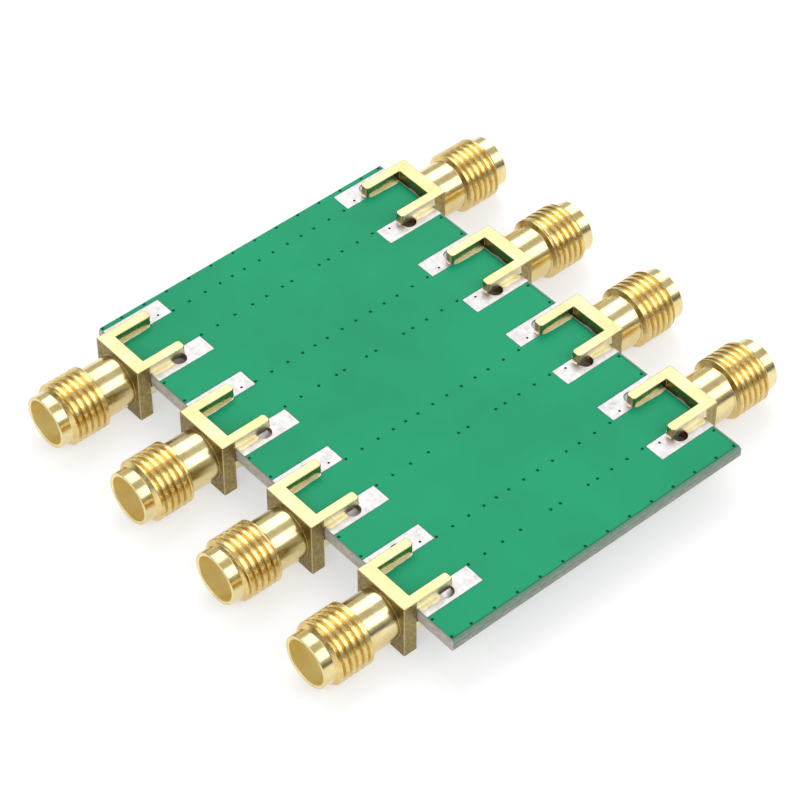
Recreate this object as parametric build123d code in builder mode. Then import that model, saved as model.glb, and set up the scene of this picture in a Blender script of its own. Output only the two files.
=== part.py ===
from build123d import *
import os

# Four-channel fixed attenuator: a circuit board with a coaxial jack at both ends of each channel.
#
# Millimetres, +Z up. The origin is under the middle of the board, on the surface that the part
# rests on. X runs across the channels and Y along them, from the front jacks at -Y to the back
# jacks at +Y. The ground side of the board is up, its component side down.

os.makedirs("parts", exist_ok=True)

# Circuit board, with its thickness over the plated faces
board_length = 50.8
board_width = 35.2
board_thickness = 1.6
plating = 0.05

# Channels
channel_count = 4
first_channel_to_end = 4.95
last_channel_to_end = 7.9

# Square flange of each jack, with four legs that grip the board
flange_side = 6.35
flange_thickness = 1.5
flange_chamfer = 0.1
flange_to_board = 0.05
leg_width = 1.075
leg_length = 4.2
lower_leg_height = 1.1
leg_tip_chamfer = 0.25

# Turned barrel: neck, thread at its major diameter, plain nose
neck_diameter = 5.3
neck_length = 3.2
thread_diameter = 6.35
thread_length = 4.2
nose_diameter = 5.4
nose_length = 1.2
mouth_diameter = 4.6
mouth_depth = 2.5

# Insulator and centre contact
insulator_diameter = 4.1
contact_diameter = 1.27
socket_diameter = 0.93
socket_depth = 2.6
slot_width = 0.25
slot_depth = 1.8
tail_diameter = 1.0
tail_length = 3.6

# Pads under the legs, each with one plated hole, and the line pad between them
leg_pad_width = 2.2
leg_pad_length = 6.6
leg_pad_offset = 3.25
hole_diameter = 1.5
hole_offset = 3.2
hole_to_edge = 3.3
line_pad_width = 1.5
line_pad_length = 4.4

# Flats of the small rounds: they lie within 0.03 mm of a contact's and 0.06 mm of a hole's
contact_sides = 12
hole_sides = 8

# Chip resistors of each channel: one in the line, and one to ground at each end of it
network_y = 2.05
shunt_spacing = 4.6
shunt_offset = 1.25
chip_length = 2.0
chip_width = 1.25
chip_height = 0.5
chip_cap_length = 0.4
land_length = 0.95
land_width = 1.4
land_toe = 0.35

# Heights above the surface that the flanges rest on
axis_height = flange_side / 2
component_face = axis_height + tail_diameter / 2
ground_face = component_face + board_thickness
upper_leg_height = flange_side - ground_face

# Places that several pieces share
edge_y = board_width / 2
ends = {"front": -1, "back": 1}
first_channel_x = first_channel_to_end - board_length / 2
last_channel_x = board_length / 2 - last_channel_to_end
channel_pitch = (last_channel_x - first_channel_x) / (channel_count - 1)
channel_x = [first_channel_x + channel_pitch * i for i in range(channel_count)]
barrel_length = neck_length + thread_length + nose_length
insulator_length = flange_thickness + barrel_length - mouth_depth
shunt_y = (network_y - shunt_spacing / 2, network_y + shunt_spacing / 2)
cap_reach = (chip_length - chip_cap_length) / 2
land_reach = (chip_length - land_length) / 2 + land_toe


def pad_places(offset, to_edge):
    """Centres at both ends of each channel, offset to both sides of its axis."""
    across = [x + side * offset for x in channel_x for side in (-1, 1)]
    return [(x, end * (edge_y - to_edge)) for x in across for end in ends.values()]


def small_round(diameter, sides, mode=Mode.ADD):
    """Many-sided stand-in for a small circle, with one of its flats on top."""
    return RegularPolygon(diameter / 2, sides, major_radius=False, rotation=180 / sides, mode=mode)


def write(piece, name):
    """Label one finished piece and write it under its name."""
    piece.label = name
    export_step(piece, f"parts/{name}.step")


def jack_seat(x, end):
    """Plane on a jack's back face, centred on its axis: Z out through the mouth, Y up."""
    origin = (x, end * (edge_y + flange_to_board), axis_height)
    return Plane(origin=origin, x_dir=(-end, 0, 0), z_dir=(0, end, 0))


def make_shell(seat):
    """Brass body of a jack in one piece: flange, barrel and the four legs."""
    shoulder = flange_thickness + neck_length
    crest_end = shoulder + thread_length
    mouth = flange_thickness + barrel_length
    outward = Axis(seat.origin, seat.z_dir)
    section = Plane(origin=seat.origin, x_dir=seat.x_dir, z_dir=-seat.y_dir)
    leg_x = (flange_side - leg_width) / 2
    upper_leg_y = (flange_side - upper_leg_height) / 2
    lower_leg_y = (tail_diameter - lower_leg_height) / 2
    with BuildPart() as shell:
        with BuildSketch(seat):
            Rectangle(flange_side, flange_side)
        extrude(amount=flange_thickness)
        chamfer(shell.faces().sort_by(outward)[-1].edges(), length=flange_chamfer)

        # Half section of the barrel, turned about the jack's axis
        with BuildSketch(section):
            with BuildLine():
                Polyline(
                    (0, flange_thickness),
                    (neck_diameter / 2, flange_thickness),
                    (neck_diameter / 2, shoulder),
                    (thread_diameter / 2, shoulder),
                    (thread_diameter / 2, crest_end),
                    (nose_diameter / 2, crest_end),
                    (nose_diameter / 2, mouth),
                    (0, mouth),
                    close=True,
                )
            make_face()
        revolve(axis=outward)

        # Legs, flush with the flange's sides: the upper pair reaches its top
        with BuildSketch(seat):
            with Locations((-leg_x, upper_leg_y), (leg_x, upper_leg_y)):
                Rectangle(leg_width, upper_leg_height)
            with Locations((-leg_x, lower_leg_y), (leg_x, lower_leg_y)):
                Rectangle(leg_width, lower_leg_height)
        extrude(amount=-leg_length)
        chamfer(shell.faces().group_by(outward)[0].edges().filter_by(Axis.Z), length=leg_tip_chamfer)

        # Bore for the insulator, opened out at the mouth for the mating plug
        with Locations(seat.offset(mouth)):
            CounterBoreHole(insulator_diameter / 2, mouth_diameter / 2, mouth_depth)
    return shell.part


def make_insulator(seat):
    """Insulator that fills the shell's bore up to the mouth, round the contact."""
    with BuildPart() as insulator:
        with BuildSketch(seat):
            Circle(insulator_diameter / 2)
            small_round(contact_diameter, contact_sides, mode=Mode.SUBTRACT)
        extrude(amount=insulator_length)
    return insulator.part


def make_contact(seat):
    """Turned contact: a slotted socket in front, and a tail that lies on the line pad."""
    with BuildPart() as contact:
        with BuildSketch(seat):
            small_round(tail_diameter, contact_sides)
        extrude(amount=-tail_length)
        with BuildSketch(seat):
            small_round(contact_diameter, contact_sides)
        extrude(amount=insulator_length)
        with BuildSketch(seat.offset(insulator_length)):
            small_round(socket_diameter, contact_sides)
        extrude(amount=-socket_depth, mode=Mode.SUBTRACT)
        with BuildSketch(seat.offset(insulator_length)):
            Rectangle(contact_diameter, slot_width)
            Rectangle(slot_width, contact_diameter)
        extrude(amount=-slot_depth, mode=Mode.SUBTRACT)
    return contact.part


# Laminate with its solder mask, drilled through for the plated holes
hole_places = pad_places(hole_offset, hole_to_edge)
with BuildPart() as circuit_board:
    with BuildSketch(Plane.XY.offset(component_face + plating)):
        Rectangle(board_length, board_width)
        with Locations(*hole_places):
            small_round(hole_diameter, hole_sides, mode=Mode.SUBTRACT)
    extrude(amount=board_thickness - 2 * plating)
write(circuit_board.part, "circuit_board")

# Tinned leg pads on both sides of the board, open at the plated holes
leg_pad_heights = {"ground_pads": ground_face - plating, "lower_leg_pads": component_face}
for name, height in leg_pad_heights.items():
    with BuildPart() as leg_pads:
        with BuildSketch(Plane.XY.offset(height)):
            with Locations(*pad_places(leg_pad_offset, leg_pad_length / 2)):
                Rectangle(leg_pad_width, leg_pad_length)
            with Locations(*hole_places):
                small_round(hole_diameter, hole_sides, mode=Mode.SUBTRACT)
        extrude(amount=plating)
    write(leg_pads.part, name)

# Line pads under the contacts' tails
line_pad_y = edge_y - line_pad_length / 2
with BuildPart() as line_pads:
    with BuildSketch(Plane.XY.offset(component_face)):
        with Locations(*[(x, end * line_pad_y) for x in channel_x for end in ends.values()]):
            Rectangle(line_pad_width, line_pad_length)
    extrude(amount=plating)
write(line_pads.part, "line_pads")

# Chip resistors under the board, named by channel: the one in the line runs along Y
for number, x in enumerate(channel_x, start=1):
    chips = {
        f"line_resistor_{number}": Plane((x, network_y, component_face), x_dir=(0, 1, 0)),
        f"front_shunt_resistor_{number}": Plane((x + shunt_offset, shunt_y[0], component_face)),
        f"back_shunt_resistor_{number}": Plane((x + shunt_offset, shunt_y[1], component_face)),
    }
    for name, seat in chips.items():
        with BuildPart() as chip_body:
            with BuildSketch(seat):
                Rectangle(chip_length - 2 * chip_cap_length, chip_width)
            extrude(amount=-chip_height)
        write(chip_body.part, name)

    with BuildPart() as chip_caps:
        for seat in chips.values():
            with BuildSketch(seat):
                with Locations((-cap_reach, 0), (cap_reach, 0)):
                    Rectangle(chip_cap_length, chip_width)
            extrude(amount=-chip_height)
    write(chip_caps.part, f"resistor_caps_{number}")

    with BuildPart() as lands:
        for seat in chips.values():
            with BuildSketch(seat):
                with Locations((-land_reach, 0), (land_reach, 0)):
                    Rectangle(land_length, land_width)
            extrude(amount=plating)
    write(lands.part, f"resistor_lands_{number}")

# Jacks, named by channel and end
for number, x in enumerate(channel_x, start=1):
    for end_name, end in ends.items():
        seat = jack_seat(x, end)
        write(make_shell(seat), f"{end_name}_shell_{number}")
        write(make_insulator(seat), f"{end_name}_insulator_{number}")
        write(make_contact(seat), f"{end_name}_contact_{number}")
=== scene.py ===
"""Visual model of a four-channel fixed attenuator board, built round its CAD frame.

Sizes are written in millimetres and turned to metres where a mesh is made. X runs across the
channels, Y along them and Z up, as in the frame. A jack's own shapes are worked out at its seat:
a is the distance across the jack, b the height above its axis, and t the distance outwards from
the flange's back face, towards the mouth.
"""
from __future__ import annotations

import logging
import math
from dataclasses import dataclass
from enum import Enum, IntEnum
from typing import Any, Iterable, Sequence

import bmesh
import bpy
import numpy as np
from mathutils import Matrix, Vector
from mathutils.geometry import delaunay_2d_cdt

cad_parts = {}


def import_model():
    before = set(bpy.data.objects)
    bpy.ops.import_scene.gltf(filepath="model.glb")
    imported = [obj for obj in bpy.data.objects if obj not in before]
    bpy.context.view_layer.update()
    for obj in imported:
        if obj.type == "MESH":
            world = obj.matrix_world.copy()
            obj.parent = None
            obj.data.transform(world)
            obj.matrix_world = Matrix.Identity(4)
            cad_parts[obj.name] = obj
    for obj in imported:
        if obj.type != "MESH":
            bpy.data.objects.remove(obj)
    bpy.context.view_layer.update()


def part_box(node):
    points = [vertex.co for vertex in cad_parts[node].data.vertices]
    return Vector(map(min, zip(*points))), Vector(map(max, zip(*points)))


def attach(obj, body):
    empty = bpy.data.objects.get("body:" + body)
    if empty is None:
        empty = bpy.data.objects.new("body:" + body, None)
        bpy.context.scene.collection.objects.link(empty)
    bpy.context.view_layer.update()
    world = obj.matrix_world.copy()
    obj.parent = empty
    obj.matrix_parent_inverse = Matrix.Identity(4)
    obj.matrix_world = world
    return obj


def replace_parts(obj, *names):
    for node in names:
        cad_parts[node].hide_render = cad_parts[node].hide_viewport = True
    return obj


LOG = logging.getLogger("attenuator")
MM = 0.001
BODY = "root"
CHANNEL_COUNT = 4

# Noise lies about 0.5: these ends stretch it to soft clouds or to a livelier mottle
CLOUD_LOW, CLOUD_HIGH = 0.35, 0.65
MOTTLE_LOW, MOTTLE_HIGH = 0.3, 0.7
WHITE = (1.0, 1.0, 1.0, 1.0)

# Turns between faces, in radians: below the first they are one flat, above the second an edge
FLAT_TURN, EDGE_TURN = 0.01, 0.6

# Stands in for a length of nothing, where one is divided by
TINY = 1e-12

Pair = tuple[float, float]
Place = tuple[float, float]
Way = tuple[float, float, float]
Finishes = dict[str, bpy.types.Material]


class End(Enum):
    """The two ends of every channel; the value is the direction along Y that its jack faces."""

    FRONT = -1
    BACK = 1

    @property
    def word(self) -> str:
        """The word that node names use for this end."""
        return self.name.lower()


class Face(Enum):
    """The two faces of the circuit board; the value is the way that the face looks along Z."""

    GROUND = 1
    COMPONENT = -1


class BoardFinish(IntEnum):
    """The circuit board's finishes, in the order of its material slots."""

    MASK = 0
    ROUTED = 1
    SCORED = 2
    PLATING = 3


class BrassFinish(IntEnum):
    """The finishes of a jack's shell, each from the tool or the solder that made the surface. The bored one's
    paler colour is also painted light, and the darker colours of the sawn and faced ones are painted shade.
    """

    TURNED = 0
    MILLED = 1
    BORED = 2
    SAWN = 3
    CUT = 4
    FACED = 5
    SOLDER = 6


class JointFinish(IntEnum):
    """The finishes of a jack's solder: its runs, and the plugs in the plated holes."""

    SOLDER = 0
    TIN = 1


class ChipFinish(IntEnum):
    """The finishes of a chip resistor's body."""

    ALUMINA = 0
    GLAZE = 1


# Materials


def linear(hex_colour: str) -> tuple[float, float, float, float]:
    """Turns an sRGB hex colour to the linear values that a shader takes.

    Args:
        hex_colour: six hex digits, such as "35A37A".

    Returns:
        Linear red, green, blue and an alpha of 1.
    """
    parts = [int(hex_colour[i : i + 2], 16) / 255 for i in (0, 2, 4)]
    values = [c / 12.92 if c <= 0.04045 else ((c + 0.055) / 1.055) ** 2.4 for c in parts]
    return (values[0], values[1], values[2], 1.0)


def add_node(
    tree: bpy.types.NodeTree,
    kind: str,
    settings: dict[str, Any] | None = None,
    links: dict[str | int, Any] | None = None,
    output: str | int = 0,
) -> bpy.types.NodeSocket | None:
    """Adds one node with its settings and links.

    Args:
        tree: the node tree that takes it.
        kind: Blender's name of the node type, after its usual first words.
        settings: properties of the node itself.
        links: input name or number to a socket, which is linked, or to a plain value.
        output: name or number of the output that is wanted.

    Returns:
        That output's socket, or None from a node that has no outputs.
    """
    node = tree.nodes.new(f"ShaderNode{kind}")
    for name, value in (settings or {}).items():
        setattr(node, name, value)
    for name, value in (links or {}).items():
        if isinstance(value, bpy.types.NodeSocket):
            tree.links.new(value, node.inputs[name])
        else:
            node.inputs[name].default_value = value
    return node.outputs[output] if node.outputs else None


def start_material(name: str) -> tuple[bpy.types.Material, bpy.types.NodeTree, bpy.types.NodeSocket]:
    """Starts a material.

    Args:
        name: what the real finish is called.

    Returns:
        The material, its empty node tree, and the Object coordinates in it.
    """
    material = bpy.data.materials.new(name)
    material.use_nodes = True
    tree = material.node_tree
    tree.nodes.clear()
    return material, tree, add_node(tree, "TexCoord", output="Object")


def end_material(tree: bpy.types.NodeTree, sockets: dict[str, Any]) -> None:
    """Closes a material with one Principled shader.

    Args:
        tree: the material's node tree.
        sockets: the shader's inputs by name, each a link or a plain value.
    """
    surface = add_node(tree, "BsdfPrincipled", links=sockets)
    add_node(tree, "OutputMaterial", links={"Surface": surface})


def per_mm(size: float) -> float:
    """Scale of a pattern whose marks are about size millimetres across."""
    return 1.0 / (size * MM)


def dress(slots: type[IntEnum], finishes: Finishes) -> list[bpy.types.Material]:
    """The materials that an enum of slots names, in the order of its slots."""
    return [finishes[slot.name.lower()] for slot in slots]


@dataclass(frozen=True)
class GoldFlash:
    """Gold flash over nickel on brass: a pale yellow metal with the tool's fine marks in it.

    Turned faces are almost a mirror, with fine rings round the barrel that repeat along Y. A cut
    thread is a deeper gold and finely torn, so its flanks glitter. A bore has a soft, even sheen,
    and its paler colour is painted light inside the mouth. Milled faces are satin and greyer, with
    a dense fine grain. Faced and sawn faces are dull, with a coarse grain and small clouds where
    the flash is thin. Their darker browns are painted shade, standing for the dark reflections on
    the flange's front and sides.
    """

    name: str
    colour: str = "EADAA5"
    thin_colour: str = "E0CB8F"
    roughness: float = 0.19
    gloss_shares: Pair = (0.8, 1.25)
    smear_size: float = 0.5
    ring_pitch: float = 0.09
    ring_depth: float = 0.0012
    wander_size: float = 0.8
    wander_share: float = 0.4
    grain_size: float = 0.3
    grain_depth: float = 0.002
    cloud_size: float = 2.4

    def make(self) -> bpy.types.Material:
        """Builds the material.

        Returns:
            The material, with its patterns on Object coordinates.
        """
        material, tree, place = start_material(self.name)
        # The flash is thinner in soft clouds, which are smaller on a rough cut
        links = {"Vector": place, "Scale": per_mm(self.cloud_size), "Detail": 3.0}
        cloud = add_node(tree, "TexNoise", links=links)
        links = {"Value": cloud, "From Min": CLOUD_LOW, "From Max": CLOUD_HIGH}
        share = add_node(tree, "MapRange", links=links)
        links = {"Fac": share, "Color1": linear(self.thin_colour), "Color2": linear(self.colour)}
        colour = add_node(tree, "MixRGB", links=links)
        # Wiping leaves the gloss uneven
        links = {"Vector": place, "Scale": per_mm(self.smear_size), "Detail": 2.0}
        smear = add_node(tree, "TexNoise", links=links)
        low, high = (self.roughness * part for part in self.gloss_shares)
        links = {"Value": smear, "From Min": MOTTLE_LOW, "From Max": MOTTLE_HIGH}
        links |= {"To Min": low, "To Max": high}
        gloss = add_node(tree, "MapRange", links=links)
        # Rings of the turning tool: a sine along Y, whose phase wanders a little
        along = add_node(tree, "SeparateXYZ", links={0: place}, output="Y")
        wander = add_node(tree, "TexNoise", links={"Vector": place, "Scale": per_mm(self.wander_size)})
        links = {0: wander, 1: self.wander_share * self.ring_pitch * MM, 2: along}
        phase = add_node(tree, "Math", {"operation": "MULTIPLY_ADD"}, links)
        links = {0: phase, 1: 2 * math.pi / (self.ring_pitch * MM)}
        angle = add_node(tree, "Math", {"operation": "MULTIPLY"}, links)
        rings = add_node(tree, "Math", {"operation": "SINE"}, {0: angle})
        links = {"Height": rings, "Strength": 1.0, "Distance": self.ring_depth / 2 * MM}
        normal = add_node(tree, "Bump", links=links)
        links = {"Vector": place, "Scale": per_mm(self.grain_size), "Detail": 3.0}
        grain = add_node(tree, "TexNoise", links=links)
        links = {"Height": grain, "Strength": 1.0, "Distance": self.grain_depth * MM, "Normal": normal}
        normal = add_node(tree, "Bump", links=links)
        end_material(tree, {"Base Color": colour, "Metallic": 1.0, "Roughness": gloss, "Normal": normal})
        return material


@dataclass(frozen=True)
class SolderMask:
    """Green epoxy mask, screened on and baked: a hard, even gloss.

    It is lighter over copper and darker over bare laminate. It thins over the copper's edges, so
    these show as faint steps, with a painted shadow line just outside the pour, and it sinks into
    the vias, where painted shade turns it nearly black.
    """

    over_copper: str = "149769"
    over_copper_deep: str = "128F62"
    over_laminate: str = "16785A"
    margin: str = "6F9180"
    # Painted shadow: a dark line just outside the copper pour, where the mask steps down
    margin_shadow_line: str = "125C43"
    # Painted shade in the sunk cups over the vias
    via_shade: str = "0D4835"
    roughness: float = 0.34
    ior: float = 1.5
    specular: float = 0.1
    copper_margin: float = 0.15
    line_width: float = 0.09
    pad_clearance: float = 0.1
    line_half_width: float = 0.75
    line_gap: float = 0.35
    soft_edge: float = 0.05
    sink_start: float = 0.01
    sink_end: float = 0.1
    cloud_size: float = 9.0
    copper_step: float = 0.012
    peel_size: float = 0.6
    peel_depth: float = 0.004

    def make(self, board: CircuitBoard, pads: LegPads) -> bpy.types.Material:
        """Builds the material.

        Args:
            board: says where the copper under the mask ends.
            pads: the leg pads, which the mask clears all round.

        Returns:
            The material, the same for both faces.
        """
        material, tree, place = start_material("Solder mask, green epoxy")
        x, y, z = (add_node(tree, "SeparateXYZ", links={0: place}, output=axis) for axis in "XYZ")
        copper, from_middle = self.copper(tree, (x, y, z), board, pads)
        # Two greens in slow clouds over the copper, and a darker one over bare laminate
        links = {"Vector": place, "Scale": per_mm(self.cloud_size), "Detail": 4.0}
        cloud = add_node(tree, "TexNoise", links=links)
        links = {"Value": cloud, "From Min": CLOUD_LOW, "From Max": CLOUD_HIGH}
        share = add_node(tree, "MapRange", links=links)
        links = {"Fac": share, "Color1": linear(self.over_copper_deep), "Color2": linear(self.over_copper)}
        green = add_node(tree, "MixRGB", links=links)
        links = {"Fac": copper, "Color1": linear(self.over_laminate), "Color2": green}
        colour = add_node(tree, "MixRGB", links=links)
        # Outside the pour a painted shadow line, where the mask steps down off the copper, and then bare
        # laminate out to the board's edge
        for shade, width in ((self.margin_shadow_line, 0.0), (self.margin, self.line_width)):
            sides: list[bpy.types.NodeSocket] = []
            for away, half in zip(from_middle, (board.half_x, board.half_y)):
                reach = (half - board.rim_inset + self.copper_margin + width) * MM
                links = {"Value": away, "From Min": reach, "From Max": reach + self.soft_edge * MM}
                sides.append(add_node(tree, "MapRange", links=links))
            bare = add_node(tree, "Math", {"operation": "MAXIMUM"}, {0: sides[0], 1: sides[1]})
            links = {"Fac": bare, "Color1": colour, "Color2": linear(shade)}
            colour = add_node(tree, "MixRGB", links=links)
        # Inside a via the surface lies below both faces, towards the board's middle, and painted shade
        # darkens it there nearly to black
        height = add_node(tree, "Math", {"operation": "SUBTRACT"}, {0: z, 1: board.middle_z * MM})
        height = add_node(tree, "Math", {"operation": "ABSOLUTE"}, {0: height})
        face = (board.mask_top - board.middle_z) * MM
        start, end = (face - depth * MM for depth in (self.sink_start, self.sink_end))
        links = {"Value": height, "From Min": end, "From Max": start}
        sunk = add_node(tree, "MapRange", links=links | {"To Min": 1.0, "To Max": 0.0})
        links = {"Fac": sunk, "Color1": colour, "Color2": linear(self.via_shade)}
        colour = add_node(tree, "MixRGB", links=links)
        links = {"Height": copper, "Strength": 1.0, "Distance": self.copper_step * MM}
        step = add_node(tree, "Bump", links=links)
        # Faint orange peel, as the screened mask dries
        links = {"Vector": place, "Scale": per_mm(self.peel_size), "Detail": 2.0}
        peel = add_node(tree, "TexNoise", links=links)
        links = {"Height": peel, "Strength": 1.0, "Distance": self.peel_depth * MM, "Normal": step}
        normal = add_node(tree, "Bump", links=links)
        sockets = {"Base Color": colour, "Roughness": self.roughness, "IOR": self.ior, "Normal": normal}
        end_material(tree, sockets | {"Specular IOR Level": self.specular})
        return material

    def copper(
        self,
        tree: bpy.types.NodeTree,
        axes: Sequence[bpy.types.NodeSocket],
        board: CircuitBoard,
        pads: LegPads,
    ) -> tuple[bpy.types.NodeSocket, list[bpy.types.NodeSocket]]:
        """Works out where copper lies under the mask.

        Args:
            tree: the mask's node tree.
            axes: x, y and z of the place on the board.
            board: says where the copper pour ends.
            pads: the leg pads, which the mask clears all round.

        Returns:
            1 over copper and 0 over bare laminate, and the distances from the pour's middle
            along x and y.
        """
        x, y, z = axes
        soft = self.soft_edge * MM
        falls, rises = {"To Min": 1.0, "To Max": 0.0}, {"To Min": 0.0, "To Max": 1.0}
        inside: list[bpy.types.NodeSocket] = []
        from_middle: list[bpy.types.NodeSocket] = []
        for axis, half, shift in ((x, board.half_x, board.rim_shift_x), (y, board.half_y, board.rim_shift_y)):
            shifted = add_node(tree, "Math", {"operation": "SUBTRACT"}, {0: axis, 1: shift * MM})
            away = add_node(tree, "Math", {"operation": "ABSOLUTE"}, {0: shifted})
            from_middle.append(away)
            reach = (half - board.rim_inset + self.copper_margin) * MM
            links = {"Value": away, "From Min": reach, "From Max": reach + soft} | falls
            inside.append(add_node(tree, "MapRange", links=links))
        pour = add_node(tree, "Math", {"operation": "MULTIPLY"}, {0: inside[0], 1: inside[1]})
        # Distance across from the nearest channel: the channels repeat at one pitch
        first, pitch = board.channel_x[0] * MM, (board.channel_x[1] - board.channel_x[0]) * MM
        across = add_node(tree, "Math", {"operation": "SUBTRACT"}, {0: x, 1: first - pitch / 2})
        across = add_node(tree, "Math", {"operation": "FLOORED_MODULO"}, {0: across, 1: pitch})
        across = add_node(tree, "Math", {"operation": "SUBTRACT"}, {0: across, 1: pitch / 2})
        across = add_node(tree, "Math", {"operation": "ABSOLUTE"}, {0: across})
        # A narrow dark line of bare laminate round every leg pad
        off_pad = add_node(tree, "Math", {"operation": "SUBTRACT"}, {0: across, 1: pads.offset * MM})
        off_pad = add_node(tree, "Math", {"operation": "ABSOLUTE"}, {0: off_pad})
        off_pad = add_node(tree, "Math", {"operation": "SUBTRACT"}, {0: off_pad, 1: pads.width / 2 * MM})
        along = add_node(tree, "Math", {"operation": "ABSOLUTE"}, {0: y})
        links = {0: (board.half_y - pads.length) * MM, 1: along}
        off_end = add_node(tree, "Math", {"operation": "SUBTRACT"}, links)
        off = add_node(tree, "Math", {"operation": "MAXIMUM"}, {0: off_pad, 1: off_end})
        reach = self.pad_clearance * MM
        links = {"Value": off, "From Min": reach - soft, "From Max": reach} | rises
        clear = add_node(tree, "MapRange", links=links)
        # On the component side a bare gap runs along both sides of every line
        links = {"Value": z, "From Min": board.middle_z * MM - soft, "From Max": board.middle_z * MM} | falls
        under = add_node(tree, "MapRange", links=links)
        middle = (self.line_half_width + self.line_gap / 2) * MM
        from_gap = add_node(tree, "Math", {"operation": "SUBTRACT"}, {0: across, 1: middle})
        from_gap = add_node(tree, "Math", {"operation": "ABSOLUTE"}, {0: from_gap})
        reach = self.line_gap / 2 * MM
        links = {"Value": from_gap, "From Min": reach, "From Max": reach + soft} | falls
        gap = add_node(tree, "MapRange", links=links)
        gap = add_node(tree, "Math", {"operation": "MULTIPLY"}, {0: gap, 1: under})
        filled = add_node(tree, "Math", {"operation": "SUBTRACT"}, {0: 1.0, 1: gap})
        copper = add_node(tree, "Math", {"operation": "MULTIPLY"}, {0: pour, 1: clear})
        return add_node(tree, "Math", {"operation": "MULTIPLY"}, {0: copper, 1: filled}), from_middle


@dataclass(frozen=True)
class CutLaminate:
    """Glass-fibre laminate where it is cut: dull, streaked by its layers of cloth seen end on.

    A routed cut is pale grey. Where the board was scored and snapped from its panel the cut is
    darker, partly from the snapped cut and partly as painted shade on the board's left and right
    sides, and its upper half keeps a green tint from the mask.
    """

    name: str
    pale: str
    deep: str
    tint: str
    tint_height: float
    roughness: float = 0.65
    ior: float = 1.52
    ply_pitch: float = 0.19
    ply_share: float = 0.1
    drift_size: float = 1.2
    drift_share: float = 0.5
    fibre_size: float = 0.6
    fibre_squeeze: float = 5.0
    tear_depth: float = 0.03

    def make(self, board: CircuitBoard) -> bpy.types.Material:
        """Builds the material: the plies are thin level layers, and the cut is rough.

        Args:
            board: says how high the cut's upper edge lies.

        Returns:
            The material.
        """
        material, tree, place = start_material(self.name)
        height = add_node(tree, "SeparateXYZ", links={0: place}, output="Z")
        drift = add_node(tree, "TexNoise", links={"Vector": place, "Scale": per_mm(self.drift_size)})
        links = {0: drift, 1: self.drift_share * self.ply_pitch * MM, 2: height}
        level = add_node(tree, "Math", {"operation": "MULTIPLY_ADD"}, links)
        links = {0: level, 1: 2 * math.pi / (self.ply_pitch * MM)}
        angle = add_node(tree, "Math", {"operation": "MULTIPLY"}, links)
        plies = add_node(tree, "Math", {"operation": "SINE"}, {0: angle})
        # Torn fibres are long and level, so the pattern is squeezed upright
        links = {"Vector": place, "Scale": (1.0, 1.0, self.fibre_squeeze)}
        squeezed = add_node(tree, "Mapping", links=links)
        links = {"Vector": squeezed, "Scale": per_mm(self.fibre_size), "Detail": 5.0}
        fibre = add_node(tree, "TexNoise", links=links)
        weave = add_node(tree, "Math", {"operation": "MULTIPLY_ADD"}, {0: plies, 1: self.ply_share, 2: fibre})
        links = {"Value": weave, "From Min": MOTTLE_LOW, "From Max": MOTTLE_HIGH}
        share = add_node(tree, "MapRange", links=links)
        links = {"Fac": share, "Color1": linear(self.deep), "Color2": linear(self.pale)}
        colour = add_node(tree, "MixRGB", links=links)
        top = board.mask_top * MM
        links = {"Value": height, "From Min": top - self.tint_height * MM, "From Max": top}
        tinted = add_node(tree, "MapRange", links=links)
        links = {"Fac": tinted, "Color1": colour, "Color2": linear(self.tint)}
        colour = add_node(tree, "MixRGB", links=links)
        links = {"Height": weave, "Strength": 1.0, "Distance": self.tear_depth * MM}
        normal = add_node(tree, "Bump", links=links)
        sockets = {"Base Color": colour, "Roughness": self.roughness, "IOR": self.ior, "Normal": normal}
        end_material(tree, sockets)
        return material


@dataclass(frozen=True)
class Tin:
    """Soft white metal, levelled or flowed on copper: bright, satin, with low swells in it."""

    name: str
    bright: str
    dull: str
    roughness: float
    gloss_shares: Pair = (0.85, 1.2)
    cloud_size: float = 1.1
    cloud_range: Pair = (0.35, 0.62)
    patch_size: float = 0.4
    swell_size: float = 1.3
    swell_depth: float = 0.02
    grain_size: float = 0.12
    grain_depth: float = 0.004

    def make(self) -> bpy.types.Material:
        """Builds the material.

        Returns:
            The material, with its patterns on Object coordinates.
        """
        material, tree, place = start_material(self.name)
        links = {"Vector": place, "Scale": per_mm(self.cloud_size), "Detail": 4.0}
        cloud = add_node(tree, "TexNoise", links=links)
        links = {"Value": cloud, "From Min": self.cloud_range[0], "From Max": self.cloud_range[1]}
        share = add_node(tree, "MapRange", links=links)
        links = {"Fac": share, "Color1": linear(self.dull), "Color2": linear(self.bright)}
        colour = add_node(tree, "MixRGB", links=links)
        patch = add_node(tree, "TexNoise", links={"Vector": place, "Scale": per_mm(self.patch_size)})
        low, high = (self.roughness * part for part in self.gloss_shares)
        links = {"Value": patch, "From Min": MOTTLE_LOW, "From Max": MOTTLE_HIGH}
        links |= {"To Min": low, "To Max": high}
        gloss = add_node(tree, "MapRange", links=links)
        swell = add_node(tree, "TexNoise", links={"Vector": place, "Scale": per_mm(self.swell_size)})
        links = {"Height": swell, "Strength": 1.0, "Distance": self.swell_depth * MM}
        normal = add_node(tree, "Bump", links=links)
        links = {"Vector": place, "Scale": per_mm(self.grain_size), "Detail": 3.0}
        grain = add_node(tree, "TexNoise", links=links)
        links = {"Height": grain, "Strength": 1.0, "Distance": self.grain_depth * MM, "Normal": normal}
        normal = add_node(tree, "Bump", links=links)
        end_material(tree, {"Base Color": colour, "Metallic": 1.0, "Roughness": gloss, "Normal": normal})
        return material


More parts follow.
